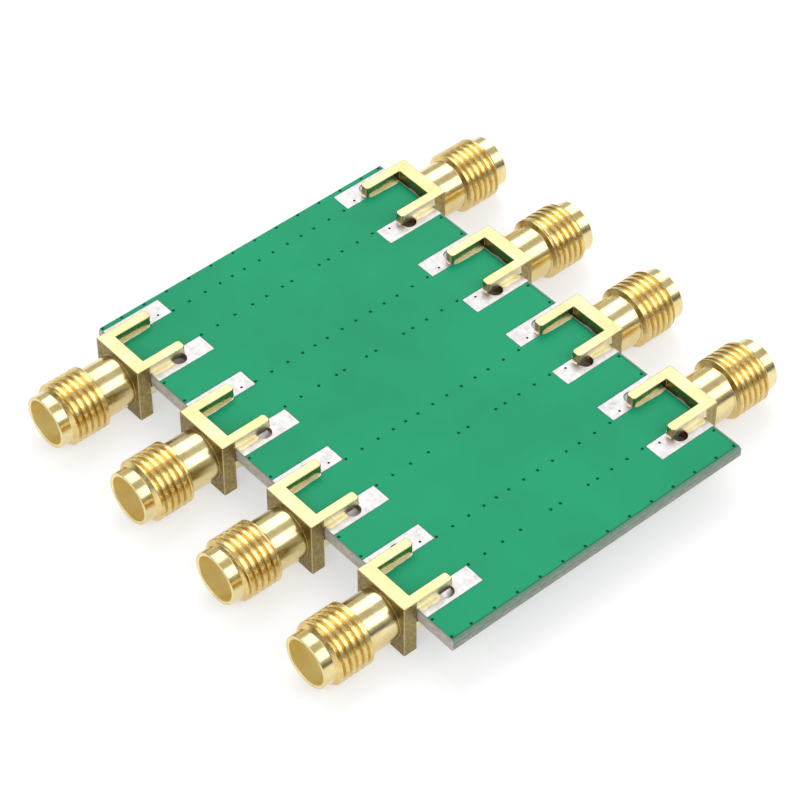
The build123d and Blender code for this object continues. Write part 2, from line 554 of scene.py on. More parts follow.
@dataclass(frozen=True)
class Dielectric:
    """A plain non-metal, such as fluoropolymer, alumina or fired glass, by colour and gloss."""

    name: str
    colour: str
    shade: str
    roughness: float
    ior: float
    grain_size: float
    grain_depth: float

    def make(self) -> bpy.types.Material:
        """Builds the material with a faint grain in its colour and surface.

        Returns:
            The material, with its grain on Object coordinates.
        """
        material, tree, place = start_material(self.name)
        links = {"Vector": place, "Scale": per_mm(self.grain_size), "Detail": 3.0}
        grain = add_node(tree, "TexNoise", links=links)
        links = {"Value": grain, "From Min": MOTTLE_LOW, "From Max": MOTTLE_HIGH}
        share = add_node(tree, "MapRange", links=links)
        links = {"Fac": share, "Color1": linear(self.shade), "Color2": linear(self.colour)}
        colour = add_node(tree, "MixRGB", links=links)
        links = {"Height": grain, "Strength": 1.0, "Distance": self.grain_depth * MM}
        normal = add_node(tree, "Bump", links=links)
        sockets = {"Base Color": colour, "Roughness": self.roughness, "IOR": self.ior, "Normal": normal}
        end_material(tree, sockets)
        return material


# Surfaces


@dataclass
class Shell:
    """One closed surface: its points in millimetres, its faces, and its material's slot."""

    points: np.ndarray
    faces: list[Sequence[int]]
    slot: int | np.ndarray = 0


def moved(shell: Shell, *axes: np.ndarray) -> Shell:
    """The shell with new places for its points, given as one array for each axis."""
    return Shell(np.stack(axes, -1), shell.faces, shell.slot)


def outward(shell: Shell) -> Shell:
    """Turns a closed shell's faces outwards.

    The signed volume is the sum, over a fan of triangles of every face, of a sixth of the
    triple product of its corners. A negative sum means that the faces look inwards.

    Args:
        shell: a shell whose faces all wind the same way.

    Returns:
        The same shell.
    """
    corners = [(face[0], face[i], face[i + 1]) for face in shell.faces for i in range(1, len(face) - 1)]
    a, b, c = (shell.points[[row[i] for row in corners]] for i in range(3))
    if np.einsum("ij,ij->i", a, np.cross(b, c)).sum() < 0:
        shell.faces = [tuple(reversed(face)) for face in shell.faces]
    return shell


def grid_faces(rows: int, columns: int, wrap_rows: bool, wrap_columns: bool) -> list[tuple[int, ...]]:
    """Quads between neighbouring points of a grid, joined end to end where it wraps.

    Args:
        rows: how many rows of points there are.
        columns: how many points a row has.
        wrap_rows: whether the last row joins the first.
        wrap_columns: whether every row is a ring.

    Returns:
        The quads, in points numbered along the rows.
    """
    row = np.arange(rows if wrap_rows else rows - 1)
    column = np.arange(columns if wrap_columns else columns - 1)
    i, j = np.meshgrid(row, column, indexing="ij")
    i2, j2 = (i + 1) % rows, (j + 1) % columns
    quads = np.stack([i * columns + j, i * columns + j2, i2 * columns + j2, i2 * columns + j], axis=-1)
    return [tuple(quad) for quad in quads.reshape(-1, 4).tolist()]


def lathe(radius: np.ndarray, height: np.ndarray, slot: int = 0, capped: bool = False) -> Shell:
    """A profile turned about the t axis.

    Args:
        radius: rows by columns, the radius at each profile point and turn angle.
        height: one t for each row.
        slot: material slot.
        capped: whether flat faces close the first and last rings; else the profile is a loop.

    Returns:
        The shell, with points (radius cos angle, radius sin angle, t).
    """
    rows, columns = radius.shape
    angle = np.linspace(0, 2 * np.pi, columns, endpoint=False)
    level = np.repeat(height[:, None], columns, 1)
    points = np.stack([radius * np.cos(angle), radius * np.sin(angle), level], -1)
    faces = grid_faces(rows, columns, not capped, True)
    if capped:
        faces.append(tuple(reversed(range(columns))))
        faces.append(tuple((rows - 1) * columns + i for i in range(columns)))
    return outward(Shell(points.reshape(-1, 3), faces, slot))


def turned(profile: Sequence[Place], columns: int, capped: bool = False) -> Shell:
    """A profile of (radius, t) points, the same all round, turned about the t axis."""
    radius = np.repeat(np.array([r for r, _ in profile])[:, None], columns, 1)
    return lathe(radius, np.array([t for _, t in profile]), capped=capped)


def arc(centre: Place, radius: float, start: float, end: float, count: int) -> list[Place]:
    """Points along an arc of a profile, from start to end in degrees."""
    angles = np.radians(np.linspace(start, end, count))
    return [(centre[0] + radius * math.cos(v), centre[1] + radius * math.sin(v)) for v in angles]


def bevelled_cells(
    grid: Sequence[Sequence[float]],
    filled: Iterable[tuple[int, int, int]],
    width: float,
    slot: int = 0,
    tip_radius: float = 0.0,
    tolerance: float = 1e-4,
) -> Shell:
    """A block form made of filled cells of a grid, in one closed skin with its edges rounded.

    Args:
        grid: the planes along each of the three axes, in millimetres.
        filled: the cells that are solid, as their numbers along the axes.
        width: how far the rounding reaches from each edge.
        slot: material slot.
        tip_radius: a larger rounding of the upright edges at the third axis's lowest plane.
        tolerance: places nearer than this are in one plane.

    Returns:
        The closed shell.
    """
    cells = set(filled)
    sides = {
        (1, 0, 0): ((1, 0, 0), (1, 1, 0), (1, 1, 1), (1, 0, 1)),
        (-1, 0, 0): ((0, 0, 0), (0, 0, 1), (0, 1, 1), (0, 1, 0)),
        (0, 1, 0): ((0, 1, 0), (0, 1, 1), (1, 1, 1), (1, 1, 0)),
        (0, -1, 0): ((0, 0, 0), (1, 0, 0), (1, 0, 1), (0, 0, 1)),
        (0, 0, 1): ((0, 0, 1), (1, 0, 1), (1, 1, 1), (0, 1, 1)),
        (0, 0, -1): ((0, 0, 0), (0, 1, 0), (1, 1, 0), (1, 0, 0)),
    }
    squares = [
        [(i + a, j + b, k + c) for a, b, c in square]
        for i, j, k in sorted(cells)
        for (di, dj, dk), square in sides.items()
        if (i + di, j + dj, k + dk) not in cells
    ]
    mesh = bmesh.new()
    crossings = dict.fromkeys(crossing for square in squares for crossing in square)
    corners = {at: mesh.verts.new([planes[n] for planes, n in zip(grid, at)]) for at in crossings}
    for square in squares:
        mesh.faces.new([corners[at] for at in square])
    bmesh.ops.dissolve_limit(mesh, angle_limit=FLAT_TURN, verts=mesh.verts, edges=mesh.edges)
    if tip_radius:
        low = min(grid[2]) + tolerance
        upright = [e for e in mesh.edges if all(v.co.z < low for v in e.verts)]
        upright = [e for e in upright if abs(e.verts[0].co.x - e.verts[1].co.x) < tolerance]
        rounding = {"offset": tip_radius, "segments": 5, "profile": 0.5, "affect": "EDGES"}
        bmesh.ops.bevel(mesh, geom=upright, offset_type="OFFSET", clamp_overlap=True, **rounding)
    crisp = [e for e in mesh.edges if e.calc_face_angle() > EDGE_TURN]
    rounding = {"offset": width, "segments": 2, "profile": 0.5, "affect": "EDGES"}
    bmesh.ops.bevel(mesh, geom=crisp, offset_type="OFFSET", clamp_overlap=True, **rounding)
    bmesh.ops.recalc_face_normals(mesh, faces=mesh.faces)
    mesh.verts.index_update()
    points = np.array([v.co[:] for v in mesh.verts])
    faces = [tuple(v.index for v in face.verts) for face in mesh.faces]
    mesh.free()
    return outward(Shell(points, faces, slot))


def block(low: Sequence[float], high: Sequence[float], edge: float, slot: int = 0) -> Shell:
    """One block with rounded edges, between its lowest and its highest corner."""
    return bevelled_cells(list(zip(low, high)), [(0, 0, 0)], edge, slot)


def fillet(
    start: float,
    end: float,
    foot: Pair,
    rise: Pair,
    seed: float,
    bulge: float = 0.25,
    rows: int = 40,
    steps: int = 8,
    bury: float = 0.04,
) -> Shell:
    """A run of solder in a right-angled corner, along the third axis.

    Its section is a quarter of a hollow arc from the foot, out on the floor, to the rise, up the
    wall: x = foot (1 - sin u) and y = rise (1 - cos u), pushed out by the bulge. Foot and rise
    change evenly from the start to the end. Both shrink to nearly nothing at the run's ends, by
    the root of 1 - v to the eighth power with v from -1 to 1, and swell by slow sines in between.

    Args:
        start: where the run starts along the third axis.
        end: where it ends.
        foot: its reach along the floor, which is the first axis, at the start and at the end.
        rise: its reach up the wall, which is the second axis, at the start and at the end.
        seed: shifts the swells.
        bulge: 0 for a hollow arc, 1 for a straight slope.
        rows: how many sections the run has.
        steps: how many points the arc of a section has.
        bury: how far the run's back lies behind the corner.

    Returns:
        The closed shell, with the corner at x = y = 0.
    """
    u = np.linspace(0, 1, rows)[:, None]
    ends = np.sqrt(np.clip(1 - np.abs(2 * u - 1) ** 8, 0.02, 1))
    # Height of each swell as a share, its radians for each millimetre, and its share of the seed
    swells = ((0.05, 2.3, 1), (0.04, 5.1, 2))
    length = abs(end - start)
    size = ends * (1 + sum(high * np.sin(rate * length * u + part * seed) for high, rate, part in swells))
    turn = np.linspace(0, np.pi / 2, steps)[None, :]
    straight = turn / (np.pi / 2)
    foot_here, rise_here = (at[0] + (at[1] - at[0]) * u for at in (foot, rise))
    x = foot_here * size * ((1 - np.sin(turn)) * (1 - bulge) + (1 - straight) * bulge)
    y = rise_here * size * ((1 - np.cos(turn)) * (1 - bulge) + straight * bulge)
    # Three more points bury the run's back in the corner
    back = np.full((rows, 1), -bury)
    x = np.hstack([x, back, back, x[:, :1]])
    y = np.hstack([y, y[:, -1:], back, back])
    z = np.repeat(start + (end - start) * u, x.shape[1], 1)
    points = np.stack([x, y, z], -1).reshape(-1, 3)
    columns = x.shape[1]
    faces = grid_faces(rows, columns, False, True)
    faces.append(tuple(reversed(range(columns))))
    faces.append(tuple((rows - 1) * columns + i for i in range(columns)))
    return outward(Shell(points, faces))


def circle(centre: Place, radius: float, count: int) -> np.ndarray:
    """Points round a circle, as a count by 2 array."""
    angle = np.linspace(0, 2 * np.pi, count, endpoint=False)
    return np.stack([centre[0] + radius * np.cos(angle), centre[1] + radius * np.sin(angle)], -1)


def fill_between(loops: Sequence[np.ndarray]) -> list[tuple[int, ...]]:
    """Triangles between an outline and the round holes in it.

    A hole's loop is convex, so a triangle with all three corners on one hole lies inside it and
    is left out.

    Args:
        loops: the outline, then one loop of points for each hole.

    Returns:
        Triangles that number the loops' points in order, anticlockwise seen from above.
    """
    points = np.vstack(loops)
    counts = np.array([len(loop) for loop in loops])
    starts = np.concatenate([[0], np.cumsum(counts)[:-1]])
    owner = np.repeat(np.arange(len(loops)), counts)
    step = np.arange(len(points)) - starts[owner]
    following = starts[owner] + (step + 1) % counts[owner]
    edges = np.stack([np.arange(len(points)), following], -1).tolist()
    flat = [Vector(p) for p in points.tolist()]
    _, _, triangles, sources, _, _ = delaunay_2d_cdt(flat, edges, [], 1, 1e-5)
    corners = np.array([source[0] for source in sources])[np.array(triangles)]
    home = owner[corners]
    inside_hole = (home[:, 0] > 0) & (home[:, 0] == home[:, 1]) & (home[:, 0] == home[:, 2])
    corners = corners[~inside_hole]
    a, b, c = (points[corners[:, i]] for i in range(3))
    area = (b - a)[:, 0] * (c - a)[:, 1] - (b - a)[:, 1] * (c - a)[:, 0]
    corners[area < 0] = corners[area < 0][:, ::-1]
    return [tuple(row) for row in corners.tolist()]


def corner_normals(points: np.ndarray, faces: Sequence[Sequence[int]], sharp: float) -> np.ndarray:
    """Normals for every corner of every face, weighted by face area.

    A corner's normal is the sum of the area vectors of the faces that meet at its point and look
    within the sharp angle of its own face. A wide flat then stays flat up to its edge, and the
    narrow faces of the rounding carry the whole turn. A face's area vector is half the sum of
    the cross products of its neighbouring points.

    Args:
        points: the mesh's points, in millimetres.
        faces: its faces, as numbers of points.
        sharp: faces that turn by more than this many degrees stay apart.

    Returns:
        One unit vector for each corner, in the order of the faces.
    """
    counts = np.array([len(face) for face in faces])
    corner = np.concatenate([np.asarray(face) for face in faces])
    home = np.repeat(np.arange(len(faces)), counts)
    first = np.concatenate([[0], np.cumsum(counts)[:-1]])
    following = first[home] + (np.arange(len(corner)) - first[home] + 1) % counts[home]
    cross = np.cross(points[corner], points[corner[following]])
    area = np.stack([np.bincount(home, cross[:, i], len(faces)) for i in range(3)], -1) / 2
    unit = area / np.maximum(np.linalg.norm(area, axis=1, keepdims=True), TINY)
    # Every pair of corners that share a point
    order = np.argsort(corner, kind="stable")
    meeting = np.bincount(corner, minlength=len(points))
    start = np.concatenate([[0], np.cumsum(meeting)[:-1]])
    share = meeting[corner[order]]
    own = np.repeat(order, share)
    step = np.arange(share.sum()) - np.repeat(np.cumsum(share) - share, share)
    other = order[np.repeat(start[corner[order]], share) + step]
    near = (unit[home[own]] * unit[home[other]]).sum(-1) > math.cos(math.radians(sharp))
    weight = area[home[other]] * near[:, None]
    total = np.stack([np.bincount(own, weight[:, i], len(corner)) for i in range(3)], -1)
    return total / np.maximum(np.linalg.norm(total, axis=1, keepdims=True), TINY)


def build_piece(
    name: str,
    shells: Sequence[Shell],
    materials: Sequence[bpy.types.Material],
    sharp: float = 50.0,
) -> bpy.types.Object:
    """Makes one object of several shells, with its place in its mesh.

    Args:
        name: the piece's name.
        shells: its closed surfaces, in millimetres.
        materials: its materials, in the order of the shells' slots.
        sharp: edges that turn by more than this many degrees stay crisp.

    Returns:
        The object, linked to the scene and riding on the body.
    """
    starts = np.cumsum([0] + [len(shell.points) for shell in shells])
    shells = [outward(shell) for shell in shells]
    points = np.vstack([shell.points for shell in shells])
    faces = [
        tuple(int(start + n) for n in face) for shell, start in zip(shells, starts) for face in shell.faces
    ]
    mesh = bpy.data.meshes.new(name)
    mesh.from_pydata((points * MM).tolist(), [], faces)
    numbers = [np.broadcast_to(shell.slot, len(shell.faces)) for shell in shells]
    for material in materials:
        mesh.materials.append(material)
    mesh.polygons.foreach_set("material_index", np.concatenate(numbers).astype(np.int32))
    mesh.shade_smooth()
    mesh.normals_split_custom_set(corner_normals(points, faces, sharp).tolist())
    mesh.update()
    piece = bpy.data.objects.new(name, mesh)
    bpy.context.scene.collection.objects.link(piece)
    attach(piece, BODY)
    LOG.info("%s: %d faces", name, len(faces))
    return piece


# Sub-assemblies


@dataclass
class Seat:
    """Where one jack sits: its axis, its channel's number and the end that it faces."""

    x: float
    axis_z: float
    back_y: float
    end: End
    number: int

    def place(self, shell: Shell) -> Shell:
        """Turns a shell to the frame.

        Args:
            shell: the shell, in (a, b, t) at the seat.

        Returns:
            The same surface in x, y and z.
        """
        a, b, t = shell.points.T
        way = self.end.value
        return moved(shell, self.x - way * a, way * (abs(self.back_y) + t), self.axis_z + b)

    def node(self, part: str) -> str:
        """The CAD node of one of this jack's parts."""
        return f"{self.end.word}_{part}_{self.number}"


@dataclass
class CircuitBoard:
    """The laminate with its mask, its plated holes and the vias that the mask sinks into."""

    channel_x: list[float]
    half_x: float
    half_y: float
    bottom: float
    top: float
    mask_swell: float = 0.03
    hole_radius: float = 0.75
    hole_offset: float = 3.2
    hole_to_edge: float = 3.3
    hole_points: int = 40
    via_radius: float = 0.17
    via_depth: float = 0.14
    via_points: int = 12
    via_steps: tuple[Pair, ...] = ((0.85, 0.3), (0.6, 0.75), (0.25, 1.0))
    pad_via_offset: float = 2.65
    pad_via_to_edge: float = 5.35
    fence_offset: float = 2.15
    fence_shift: tuple[float, ...] = (-0.05, -0.25, 0.15, 0.0)
    fence_half: float = 10.75
    fence_left: tuple[float, ...] = (
        -1, -0.82, -0.64, -0.47, -0.33, -0.19, -0.02, 0.14, 0.31, 0.47, 0.62, 0.8, 0.98
    )
    fence_right: tuple[float, ...] = (-1, -0.82, -0.62, -0.42, 0.62, 0.8, 0.98)
    fence_extra: tuple[float, ...] = (-0.26, -0.33)
    shunt_y: Pair = (-0.25, 4.35)
    shunt_via_spacing: float = 1.15
    rim_inset: float = 0.4
    rim_shift_x: float = -0.14
    rim_shift_y: float = -0.12
    rim_half_span: float = 4.8
    rim_corner_gap: float = 2.25
    rim_side_count: int = 12
    edge_inset: float = 0.08
    score_inset: float = 0.26
    score_depth: float = 0.35
    edge_angle: float = 24.0

    @property
    def mask_top(self) -> float:
        """Height of the mask on the ground side."""
        return self.top + self.mask_swell

    @property
    def mask_bottom(self) -> float:
        """Height of the mask on the component side."""
        return self.bottom - self.mask_swell

    @property
    def middle_z(self) -> float:
        """Height of the laminate's middle."""
        return (self.top + self.bottom) / 2

    def pad_places(self, offset: float, to_edge: float) -> list[Place]:
        """Places at both ends of each channel, offset to both sides of its axis."""
        across = [x + side * offset for x in self.channel_x for side in (-1, 1)]
        return [(x, end.value * (self.half_y - to_edge)) for x in across for end in End]

    def pad_vias(self) -> list[Place | None]:
        """Where the leg pads have a small via.

        Returns:
            Each pad's via, or None for the front pads at +X, in the order of pad_places.
        """
        corners = [(side, end) for _ in self.channel_x for side in (-1, 1) for end in End]
        places = self.pad_places(self.pad_via_offset, self.pad_via_to_edge)
        return [None if corner == (1, End.FRONT) else place for corner, place in zip(corners, places)]

    def vias(self) -> list[Place]:
        """Places the small vias: in the pads, in fences along the lines and round the board.

        Returns:
            The centres of all of them.
        """
        places = [place for place in self.pad_vias() if place]
        rows = [x + shift for x, shift in zip(self.channel_x, self.fence_shift)]
        for x in rows:
            places += [(x - self.fence_offset, self.fence_half * step) for step in self.fence_left]
            places += [(x + self.fence_offset, self.fence_half * step) for step in self.fence_right]
            for y in self.shunt_y:
                places += [(x + self.fence_offset, y + side * self.shunt_via_spacing / 2) for side in (-1, 1)]
        places += [(x + self.fence_offset, self.fence_half * step) for x, step in zip(rows, self.fence_extra)]
        half_x, half_y = self.half_x - self.rim_inset, self.half_y - self.rim_inset
        span = 2 * (half_y - self.rim_corner_gap)
        side = [span * (i / (self.rim_side_count - 1) - 0.5) for i in range(self.rim_side_count)]
        rim = [(x, y) for x in (-half_x, half_x) for y in [-half_y, *side, half_y]]
        between = [x - self.rim_half_span - self.rim_shift_x for x in self.channel_x[1:]]
        between += [x + self.rim_half_span - self.rim_shift_x for x in self.channel_x]
        rim += [(x, y) for x in between for y in (-half_y, half_y)]
        return places + [(x + self.rim_shift_x, y + self.rim_shift_y) for x, y in rim]

    def bowls(
        self, loops: Sequence[np.ndarray], first: int, face: Face, start: int
    ) -> tuple[np.ndarray, list[tuple[int, ...]]]:
        """The mask's sunk cups over the vias on one face.

        A cup's rings shrink towards its middle while the mask drops.

        Args:
            loops: each via's rim, as it lies in the face.
            first: number of the first rim point in the board's points.
            face: the face that the cups are in.
            start: number that the first new point gets.

        Returns:
            The new points, and the cups' faces.
        """
        level = self.mask_top if face is Face.GROUND else self.mask_bottom
        points: list[np.ndarray] = []
        faces: list[tuple[int, ...]] = []
        for number, loop in enumerate(loops):
            count = len(loop)
            centre = loop.mean(axis=0)
            outer = [first + number * count + i for i in range(count)]
            for radius_share, depth_share in self.via_steps:
                ring = centre + (loop - centre) * radius_share
                z = np.full((count, 1), level - face.value * self.via_depth * depth_share)
                inner = [start + i for i in range(count)]
                points.append(np.hstack([ring, z]))
                start += count
                faces += list(zip(outer, outer[1:] + outer[:1], inner[1:] + inner[:1], inner))
                outer = inner
            faces.append(tuple(outer))
        if face is Face.COMPONENT:
            faces = [tuple(reversed(row)) for row in faces]
        return np.vstack(points), faces

    def build(self, finishes: Finishes) -> None:
        """Builds the board: two masked faces, the cut edges and the plated walls.

        Each edge slopes out from both faces to an upright web, most on the right, where the
        board was scored and snapped from its panel.

        Args:
            finishes: the object's materials by name.
        """
        outer = np.array([(-1, -1), (1, -1), (1, 1), (-1, 1)], float) * (self.half_x, self.half_y)
        corner = outer - np.sign(outer) * self.edge_inset
        corner[1:3, 0] = self.half_x - self.score_inset
        holes = self.pad_places(self.hole_offset, self.hole_to_edge)
        hole_loops = [circle(c, self.hole_radius, self.hole_points) for c in holes]
        via_loops = [circle(c, self.via_radius, self.via_points) for c in self.vias()]
        loops = [corner, *hole_loops, *via_loops]
        triangles = fill_between(loops)
        flat = np.vstack(loops)
        count = len(flat)
        points = [np.hstack([flat, np.full((count, 1), z)]) for z in (self.mask_bottom, self.mask_top)]
        top = [tuple(i + count for i in t) for t in triangles]
        bottom = [tuple(reversed(t)) for t in triangles]
        first_via = len(corner) + self.hole_points * len(hole_loops)
        cups_top, cup_faces_top = self.bowls(via_loops, first_via + count, Face.GROUND, 2 * count)
        start = 2 * count + len(cups_top)
        cups_bottom, cup_faces_bottom = self.bowls(via_loops, first_via, Face.COMPONENT, start)
        web = start + len(cups_bottom)
        levels = (self.mask_bottom + self.score_depth, self.mask_top - self.score_depth)
        points += [cups_top, cups_bottom] + [np.hstack([outer, np.full((4, 1), z)]) for z in levels]
        # Four rings of corners from the lower face to the upper: the ends are routed, the sides scored
        rings = [[first + i for i in range(4)] for first in (0, web, web + 4, count)]
        sides: tuple[list[tuple[int, ...]], ...] = ([], [])
        for low, high in zip(rings, rings[1:]):
            for i in range(4):
                j = (i + 1) % 4
                sides[i % 2].append((low[i], low[j], high[j], high[i]))
        walls: list[tuple[int, ...]] = []
        for number in range(len(hole_loops)):
            ring = [len(corner) + self.hole_points * number + i for i in range(self.hole_points)]
            following = ring[1:] + ring[:1]
            walls += [(b, a, a + count, b + count) for a, b in zip(ring, following)]
        groups = {
            BoardFinish.MASK: top + bottom + cup_faces_top + cup_faces_bottom,
            BoardFinish.ROUTED: sides[0],
            # The left and right sides take the darker snapped finish, which is partly painted shade
            BoardFinish.SCORED: sides[1],
            # The dark brown of the hole walls is painted shade inside the holes
            BoardFinish.PLATING: walls,
        }
        slots = np.concatenate([np.full(len(group), slot) for slot, group in groups.items()])
        shell = Shell(np.vstack(points), [face for group in groups.values() for face in group], slots)
        materials = dress(BoardFinish, finishes)
        piece = build_piece("masked_board", [shell], materials, self.edge_angle)
        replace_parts(piece, "circuit_board")


@dataclass
class LegPads:
    """The tinned pads that the legs are soldered to, on one face of the board."""

    face: Face
    width: float = 2.2
    length: float = 6.6
    offset: float = 3.25
    thickness: float = 0.05
    rim: float = 0.07
    rim_drop: float = 0.02
    via_radius: float = 0.12
    via_rim: float = 0.04
    via_points: int = 16

    def one(self, board: CircuitBoard, place: Place, hole: Place, via: Place | None) -> Shell:
        """One pad: its face slopes down to its outline, into the plated hole and into the via.

        Args:
            board: the board that it lies on.
            place: the pad's middle.
            hole: the plated hole's centre.
            via: the small via's centre, or None for a pad without one.

        Returns:
            The closed shell.
        """
        way = self.face.value
        base = board.top if self.face is Face.GROUND else board.bottom
        high, low = base + way * self.thickness, base + way * (self.thickness - self.rim_drop)
        square = np.array([(-0.5, -0.5), (0.5, -0.5), (0.5, 0.5), (-0.5, 0.5)])
        length = self.length - board.edge_inset
        outer = square * (self.width, length) + place
        inset = square * (self.width - 2 * self.rim, length - 2 * self.rim) + place
        openings = [(hole, board.hole_radius, self.rim, board.hole_points)]
        if via:
            openings.append((via, self.via_radius, self.via_rim, self.via_points))
        rings = [(outer, inset)]
        rings += [(circle(at, r, count), circle(at, r + rim, count)) for at, r, rim, count in openings]
        upper = np.vstack([ring[1] for ring in rings])
        lower = np.vstack([ring[0] for ring in rings])
        count = len(upper)
        layers = [(upper, high), (lower, low), (lower, base)]
        points = np.vstack([np.hstack([xy, np.full((count, 1), z)]) for xy, z in layers])
        faces = list(fill_between([ring[1] for ring in rings]))
        start = 0
        for number, ring in enumerate(rings):
            size = len(ring[0])
            here = [start + i for i in range(size)]
            following = here[1:] + here[:1]
            # A hole's wall looks the other way from the outline's
            pairs = list(zip(here, following)) if number else list(zip(following, here))
            for drop in (0, count):
                faces += [(a + drop, b + drop, b + drop + count, a + drop + count) for a, b in pairs]
            start += size
        under = fill_between([ring[0] for ring in rings])
        faces += [tuple(i + 2 * count for i in reversed(t)) for t in under]
        return Shell(points, faces)

    def build(self, board: CircuitBoard, finishes: Finishes, node: str) -> None:
        """Builds all of the face's leg pads as one piece.

        Args:
            board: the board that they lie on.
            finishes: the object's materials by name.
            node: the CAD node that the piece stands for.
        """
        places = board.pad_places(self.offset, (self.length + board.edge_inset) / 2)
        holes = board.pad_places(board.hole_offset, board.hole_to_edge)
        shells = [self.one(board, *row) for row in zip(places, holes, board.pad_vias())]
        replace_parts(build_piece(f"{node}_levelled", shells, [finishes["tin"]]), node)


@dataclass
class LinePads:
    """The tinned pads under the contacts' tails: thin slabs with rounded edges."""

    width: float = 1.5
    length: float = 4.4
    edge: float = 0.02

    def build(self, channel_x: Sequence[float], finishes: Finishes, node: str) -> None:
        """Builds a pad at both ends of every line as one piece.

        Args:
            channel_x: where the lines run.
            finishes: the object's materials by name.
            node: the CAD node that the piece stands for, which gives its heights and ends.
        """
        low, high = corners(node)
        starts = (low[1], high[1] - self.length)
        half = self.width / 2
        shells = [
            block((x - half, y, low[2]), (x + half, y + self.length, high[2]), self.edge)
            for x in channel_x
            for y in starts
        ]
        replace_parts(build_piece(f"{node}_levelled", shells, [finishes["tin"]]), node)


